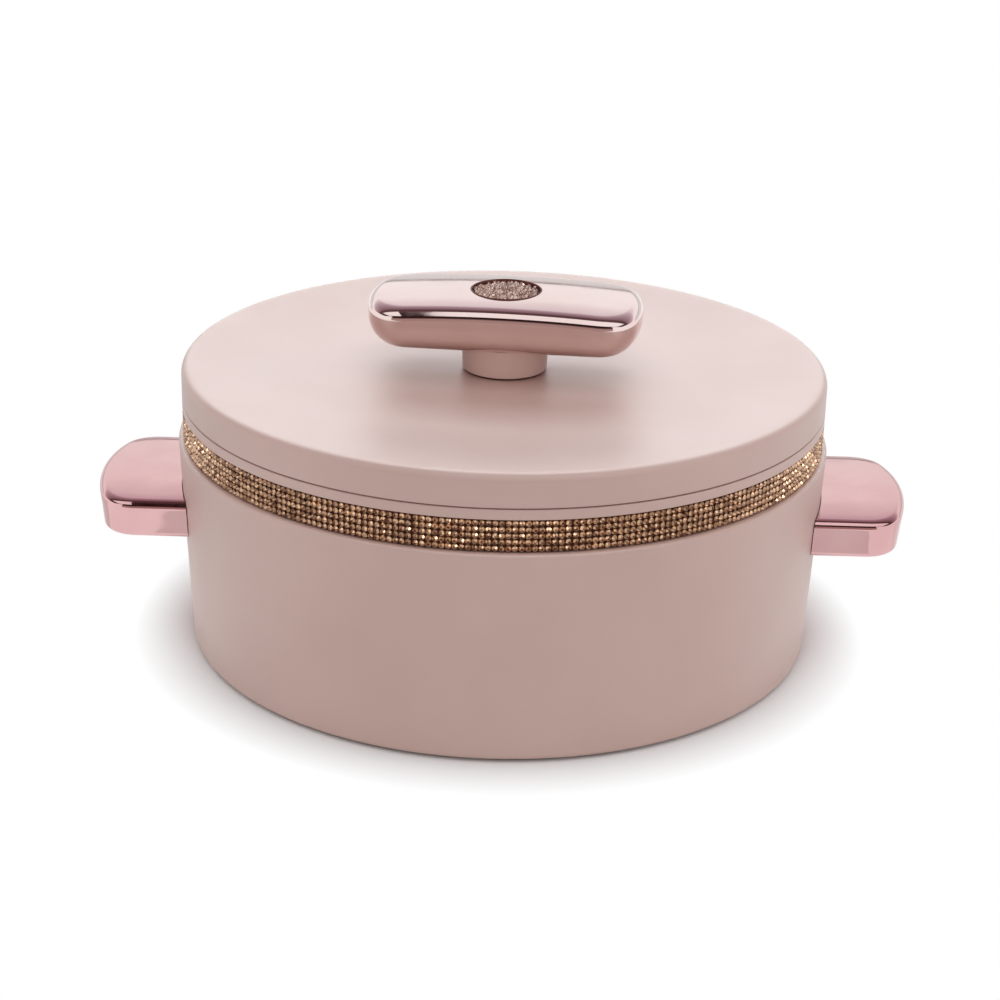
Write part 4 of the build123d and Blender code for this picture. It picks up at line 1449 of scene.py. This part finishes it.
class AddInlay(bpy.types.Operator):
    """Fill the round inlay on the bar with small stones in a thin cup"""

    bl_idname = "casserole.add_inlay"
    bl_label = "Inlay"

    def execute(self, context):
        stones = context.scene.casserole_stones
        radius = CUP_HIGH.x
        bed = GEMS_LOW.z
        cup = turn_piece(
            "inlay_rim",
            [
                (0, CUP_LOW.z),
                (radius, CUP_LOW.z),
                (radius, CUP_HIGH.z),
                (radius - CUP_WALL, CUP_HIGH.z),
                (radius - CUP_WALL, bed),
                (0, bed),
            ],
            KNOB_SEGMENTS,
        )
        edges = [(radius, CUP_HIGH.z), (radius - CUP_WALL, CUP_HIGH.z)]
        round_rings(cup, edges, CUP_WALL / 4, segments=2)
        settle(cup)
        hand_over(cup, "lid", "stone_mesh", bronzed_rim(), "inlay_cup")

        rng = random.Random(stones.seed)
        reach = GEMS_HIGH.x - stones.inlay_pitch / 2
        spots = scatter(rng, reach, stones.inlay_pitch)
        height = GEMS_HIGH.z - bed
        stone_radius = stones.inlay_pitch * INLAY_STONE_RADIUS
        template = cut_stone(stone_radius, height * INLAY_STONE_HEIGHT, stones.table_share)
        matrices = []
        for spot in spots:
            lift = INLAY_STONE_LIFT - INLAY_DOME * (spot.length / reach) ** 2
            size = rng.uniform(*INLAY_STONE_SIZES)
            place = Matrix.Translation((spot.x, spot.y, bed + lift * height))
            tilt = lean(rng, stones.inlay_tilt)
            spin = Matrix.Rotation(rng.uniform(0, math.pi), 4, "Z")
            matrices.append(place @ tilt @ spin @ Matrix.Diagonal((size, size, 1, 1)))
        kinds = facet_kinds(template)
        gems = gather("inlay_gems", template, matrices)
        # Painted light on the inlay's stones: painted glints on crowns, painted reflection and
        # shade on tables and girdles.
        tint_facets(gems, kinds, rng)
        hand_over(gems, "lid", "stones", cream_foil(), "inlay_stones")
        return {"FINISHED"}


def scatter(rng, reach, pitch):
    """Uneven spots in a disc: rings of a sunflower pattern, each nudged a little."""
    golden = math.pi * (3 - math.sqrt(5))
    number = int((reach / pitch) ** 2 * math.pi * INLAY_CROWDING)
    spots = []
    for k in range(number):
        distance = reach * math.sqrt((k + 0.5) / number)
        turn = k * golden
        nudge = Vector((rng.uniform(-1, 1), rng.uniform(-1, 1))) * pitch * INLAY_NUDGE
        spot = Vector((distance * math.cos(turn), distance * math.sin(turn))) + nudge
        spots.append(spot if spot.length < reach else spot.normalized() * reach)
    return spots


class AddKnobScrews(bpy.types.Operator):
    """Make the screws that hold the plate under the bar"""

    bl_idname = "casserole.add_knob_screws"
    bl_label = "Knob plate screws"

    def execute(self, context):
        knob = context.scene.casserole_knob
        screw_length = KNOB_SCREW_HIGH.z - KNOB_SCREW_LOW.z
        screw = turn_piece(
            "knob_screw_template",
            [
                (0, 0),
                (KNOB_SCREW_HEAD, 0),
                (KNOB_SCREW_HEAD, KNOB_SCREW_HEAD_HEIGHT),
                (KNOB_SCREW_SHANK, KNOB_SCREW_HEAD_HEIGHT),
                (KNOB_SCREW_SHANK, screw_length),
                (0, screw_length),
            ],
            SCREW_SEGMENTS,
        )
        round_rings(screw, [(KNOB_SCREW_HEAD, 0)], KNOB_SCREW_HEAD_HEIGHT / 2, segments=4)
        cross_recess(screw, KNOB_SCREW_HEAD)
        settle(screw)
        offset = (KNOB_SCREW_HIGH.x - KNOB_SCREW_HEAD) / math.cos(knob.turn)
        turn = Matrix.Rotation(knob.turn, 4, "Z")
        places = [turn @ Matrix.Translation((x, 0, KNOB_SCREW_LOW.z)) for x in (offset, -offset)]
        screws = gather("knob_underside_screws", screw, places)
        settle(screws)
        hand_over(screws, "lid", "fastener_steel", zinc_plate(), "knob_plate_screws")
        return {"FINISHED"}


class FinishCarriedPieces(bpy.types.Operator):
    """Give every piece that is kept from the frame its finish"""

    bl_idname = "casserole.finish_carried_pieces"
    bl_label = "Finish carried pieces"

    def execute(self, context):
        finishes = {
            "matte_shell": matte_rose_plastic,
            "rose_gold_plate": knob_plating,
            "stainless_steel": spun_steel,
            "stones": champagne_foil,
            "stone_mesh": bronzed_mesh,
            "foam": rigid_foam,
            "silicone": seal_silicone,
            "rubber": foot_rubber,
            "core_plastic": natural_plastic,
            "fastener_steel": zinc_plate,
            "brass": turned_brass,
        }
        slots = {part["node"]: part["material_slot"] for part in frame["record"]["subparts"]}
        for name, node in frame["nodes"].items():
            node.data.materials.clear()
            node.data.materials.append(finishes[slots[name]]())
        frame["nodes"]["knob_seat_ring"].data.materials[0] = gasket_rubber()
        return {"FINISHED"}


# ---------------------------------------------------------------- studio
def add_lamp(name, place, size, watts, pieces, gloss):
    """A soft lamp aimed at the casserole; it may light some pieces only, or add gloss only."""
    data = bpy.data.lights.new(name, "AREA")
    data.shape = "RECTANGLE"
    data.size, data.size_y = size
    data.energy = watts
    lamp = bpy.data.objects.new(name, data)
    bpy.context.scene.collection.objects.link(lamp)
    lamp.location = place
    aim = Vector((0, 0, BODY_HIGH.z / 2)) - lamp.location
    lamp.rotation_euler = aim.to_track_quat("-Z", "Y").to_euler()
    lamp.visible_camera = False
    lamp.visible_glossy = gloss
    lamp.visible_diffuse = not gloss
    if pieces:
        lit = bpy.data.collections.new(f"{name}_pieces")
        for piece in pieces:
            lit.objects.link(bpy.data.objects[piece])
        lamp.light_linking.receiver_collection = lit


def blank(owner):
    """A material or world with its nodes switched on and cleared away."""
    owner.use_nodes = True
    owner.node_tree.nodes.clear()
    return owner


def even(tint):
    """The stops of a card that has one colour all over."""
    return ((0, tint), (1, tint))


def add_card(name, corners, stops):
    """A card that shines in reflections only.

    Its corners are near left, near right, far left and far right, and its colours are stops of
    (share of the way from near to far, colour).
    """
    start_clean()
    bpy.ops.mesh.primitive_plane_add(size=1)
    card = bpy.context.active_object
    card.name = name
    enter_edit(card, "SELECT")
    place_selected(card, [Vector(corner) for corner in corners])
    start_clean()
    material = blank(bpy.data.materials.new(name))
    place = add_node(material, "ShaderNodeTexCoord")
    parts = add_node(material, "ShaderNodeSeparateXYZ")
    ramp = add_node(material, "ShaderNodeValToRGB")
    while len(ramp.color_ramp.elements) < len(stops):
        ramp.color_ramp.elements.new(1.0)
    for element, (share, tint) in zip(ramp.color_ramp.elements, stops, strict=True):
        element.position = share
        element.color = (*tint, 1)
    glow = add_node(material, "ShaderNodeEmission")
    output = add_node(material, "ShaderNodeOutputMaterial")
    join(material, place.outputs["UV"], parts.inputs["Vector"])
    join(material, parts.outputs["Y"], ramp.inputs["Fac"])
    join(material, ramp.outputs["Color"], glow.inputs["Color"])
    join(material, glow.outputs["Emission"], output.inputs["Surface"])
    card.data.materials.append(material)
    card.visible_camera = False
    card.visible_diffuse = False
    card.visible_shadow = False
    card.visible_transmission = False


def seen_ray(owner):
    """Output that is 1 for camera, glossy and transmission rays and 0 for the rest."""
    path = add_node(owner, "ShaderNodeLightPath")
    either = add_node(owner, "ShaderNodeMath", operation="MAXIMUM")
    last = add_node(owner, "ShaderNodeMath", operation="MAXIMUM")
    join(owner, path.outputs["Is Camera Ray"], either.inputs[0])
    join(owner, path.outputs["Is Glossy Ray"], either.inputs[1])
    join(owner, either.outputs["Value"], last.inputs[0])
    join(owner, path.outputs["Is Transmission Ray"], last.inputs[1])
    return last.outputs["Value"]


def show_mixed(owner, kind, share, first, second):
    """Mix two shaders for an output of a kind: the first where share is 0, the second at 1."""
    mix = add_node(owner, "ShaderNodeMixShader")
    output = add_node(owner, kind)
    join(owner, share, mix.inputs["Fac"])
    join(owner, first, mix.inputs[1])
    join(owner, second, mix.inputs[2])
    join(owner, mix.outputs["Shader"], output.inputs["Surface"])


class AddStudio(bpy.types.Operator):
    """Set the pale floor, the lamps, the reflected cards, the world and the camera"""

    bl_idname = "casserole.add_studio"
    bl_label = "Studio"

    def execute(self, context):
        studio = context.scene.casserole_studio
        self.add_floor(studio)
        self.add_world(studio)
        for name, setting, place, size, pieces, gloss in LAMPS:
            add_lamp(name, place, size, getattr(studio, setting), pieces, gloss)
        self.add_cards()
        self.add_camera(studio)
        context.scene.view_settings.view_transform = "Standard"
        return {"FINISHED"}

    def add_cards(self):
        """The dark ceiling that fades to white behind, its bright strips, and the other cards."""
        near, far = CEILING_FADE[0][0], CEILING_FADE[-1][0]
        ends = (-CEILING_HALF_WIDTH, CEILING_HALF_WIDTH)
        corners = [(x, y, CEILING_HEIGHT) for y in (near, far) for x in ends]
        fade = [((y - near) / (far - near), tint) for y, tint in CEILING_FADE]
        add_card("ceiling_card", corners, fade)
        for name, corners in STRIPS:
            add_card(name, [(x, y, STRIP_HEIGHT) for x, y in corners], even(WHITE))
        for name, ends, back, edges, fade in UPRIGHT_CARDS:
            add_card(name, [(x, back, z) for z in edges for x in ends], fade)
        for name, ends, edges, tone in FLOOR_CARDS:
            corners = [(x, y, FLOOR_CARD_HEIGHT) for y in edges for x in ends]
            add_card(f"floor_card_{name}", corners, even((tone, tone, tone)))

    def add_floor(self, studio):
        """A wide floor that is white where it is seen plainly and keeps the casserole's shadow."""
        start_clean()
        bpy.ops.mesh.primitive_plane_add(size=FLOOR_SIZE)
        floor = bpy.context.active_object
        floor.name = "studio_floor"
        material = blank(bpy.data.materials.new("studio_floor"))
        place = add_node(material, "ShaderNodeTexCoord")
        distance = add_node(material, "ShaderNodeVectorMath", operation="DISTANCE")
        distance.inputs[1].default_value = studio.shadow_place
        fade = add_node(material, "ShaderNodeMapRange")
        fade.inputs["From Min"].default_value = studio.shadow_start
        fade.inputs["From Max"].default_value = studio.shadow_end
        paper = add_node(material, "ShaderNodeBsdfDiffuse")
        paper.inputs["Color"].default_value = (*FLOOR_TINT, 1)
        white = add_node(material, "ShaderNodeEmission")
        share = add_node(material, "ShaderNodeMath", operation="MULTIPLY")
        join(material, place.outputs["Object"], distance.inputs[0])
        join(material, distance.outputs["Value"], fade.inputs["Value"])
        join(material, fade.outputs["Result"], share.inputs[0])
        join(material, seen_ray(material), share.inputs[1])
        shaders = paper.outputs["BSDF"], white.outputs["Emission"]
        show_mixed(material, "ShaderNodeOutputMaterial", share.outputs["Value"], *shaders)
        floor.data.materials.append(material)

    def add_world(self, studio):
        """White where it is seen, a weaker even sky for everything else."""
        world = blank(bpy.data.worlds.new("studio_world"))
        bpy.context.scene.world = world
        sky = add_node(world, "ShaderNodeBackground")
        sky.inputs["Strength"].default_value = studio.sky
        white = add_node(world, "ShaderNodeBackground")
        for background in (sky, white):
            background.inputs["Color"].default_value = (*WHITE, 1)
        shaders = sky.outputs["Background"], white.outputs["Background"]
        show_mixed(world, "ShaderNodeOutputWorld", seen_ray(world), *shaders)

    def add_camera(self, studio):
        """The camera stands in front, looks down on the lid and leans a little."""
        data = bpy.data.cameras.new("studio_camera")
        data.lens = studio.camera_lens
        data.clip_start = CAMERA_CLIP
        camera = bpy.data.objects.new("studio_camera", data)
        bpy.context.scene.collection.objects.link(camera)
        heading = Matrix.Rotation(studio.camera_heading, 4, "Z")
        pitch = Matrix.Rotation(math.pi / 2 - studio.camera_pitch, 4, "X")
        roll = Matrix.Rotation(studio.camera_roll, 4, "Z")
        camera.matrix_world = Matrix.Translation(studio.camera_place) @ heading @ pitch @ roll
        bpy.context.scene.camera = camera


# ---------------------------------------------------------------- panel and registration
OPERATORS = (
    FinishCarriedPieces,
    AddBody,
    AddCollar,
    AddBowl,
    AddStoneBand,
    AddSideHandles,
    AddBase,
    AddLid,
    AddLidInside,
    AddStem,
    AddKnobBar,
    AddInlay,
    AddKnobScrews,
    AddStudio,
)


class CasserolePanel(bpy.types.Panel):
    """Lists the pieces in the order they are made"""

    bl_idname = "VIEW3D_PT_casserole"
    bl_label = "Casserole"
    bl_space_type = "VIEW_3D"
    bl_region_type = "UI"
    bl_category = "Casserole"

    def draw(self, context):
        column = self.layout.column()
        for operator in OPERATORS:
            column.operator(operator.bl_idname)
        for group in GROUPS:
            box = self.layout.box()
            box.label(text=group.replace("_", " "))
            settings = getattr(context.scene, group)
            for name in settings.__annotations__:
                box.prop(settings, name)


def register():
    for group, kind in GROUPS.items():
        bpy.utils.register_class(kind)
        setattr(bpy.types.Scene, group, bpy.props.PointerProperty(type=kind))
    for operator in OPERATORS:
        bpy.utils.register_class(operator)
    bpy.utils.register_class(CasserolePanel)


def unregister():
    bpy.utils.unregister_class(CasserolePanel)
    for operator in reversed(OPERATORS):
        bpy.utils.unregister_class(operator)
    for group, kind in GROUPS.items():
        delattr(bpy.types.Scene, group)
        bpy.utils.unregister_class(kind)


def main():
    register()
    for operator in OPERATORS:
        family, name = operator.bl_idname.split(".")
        getattr(getattr(bpy.ops, family), name)()


if __name__ == "__main__":
    main()
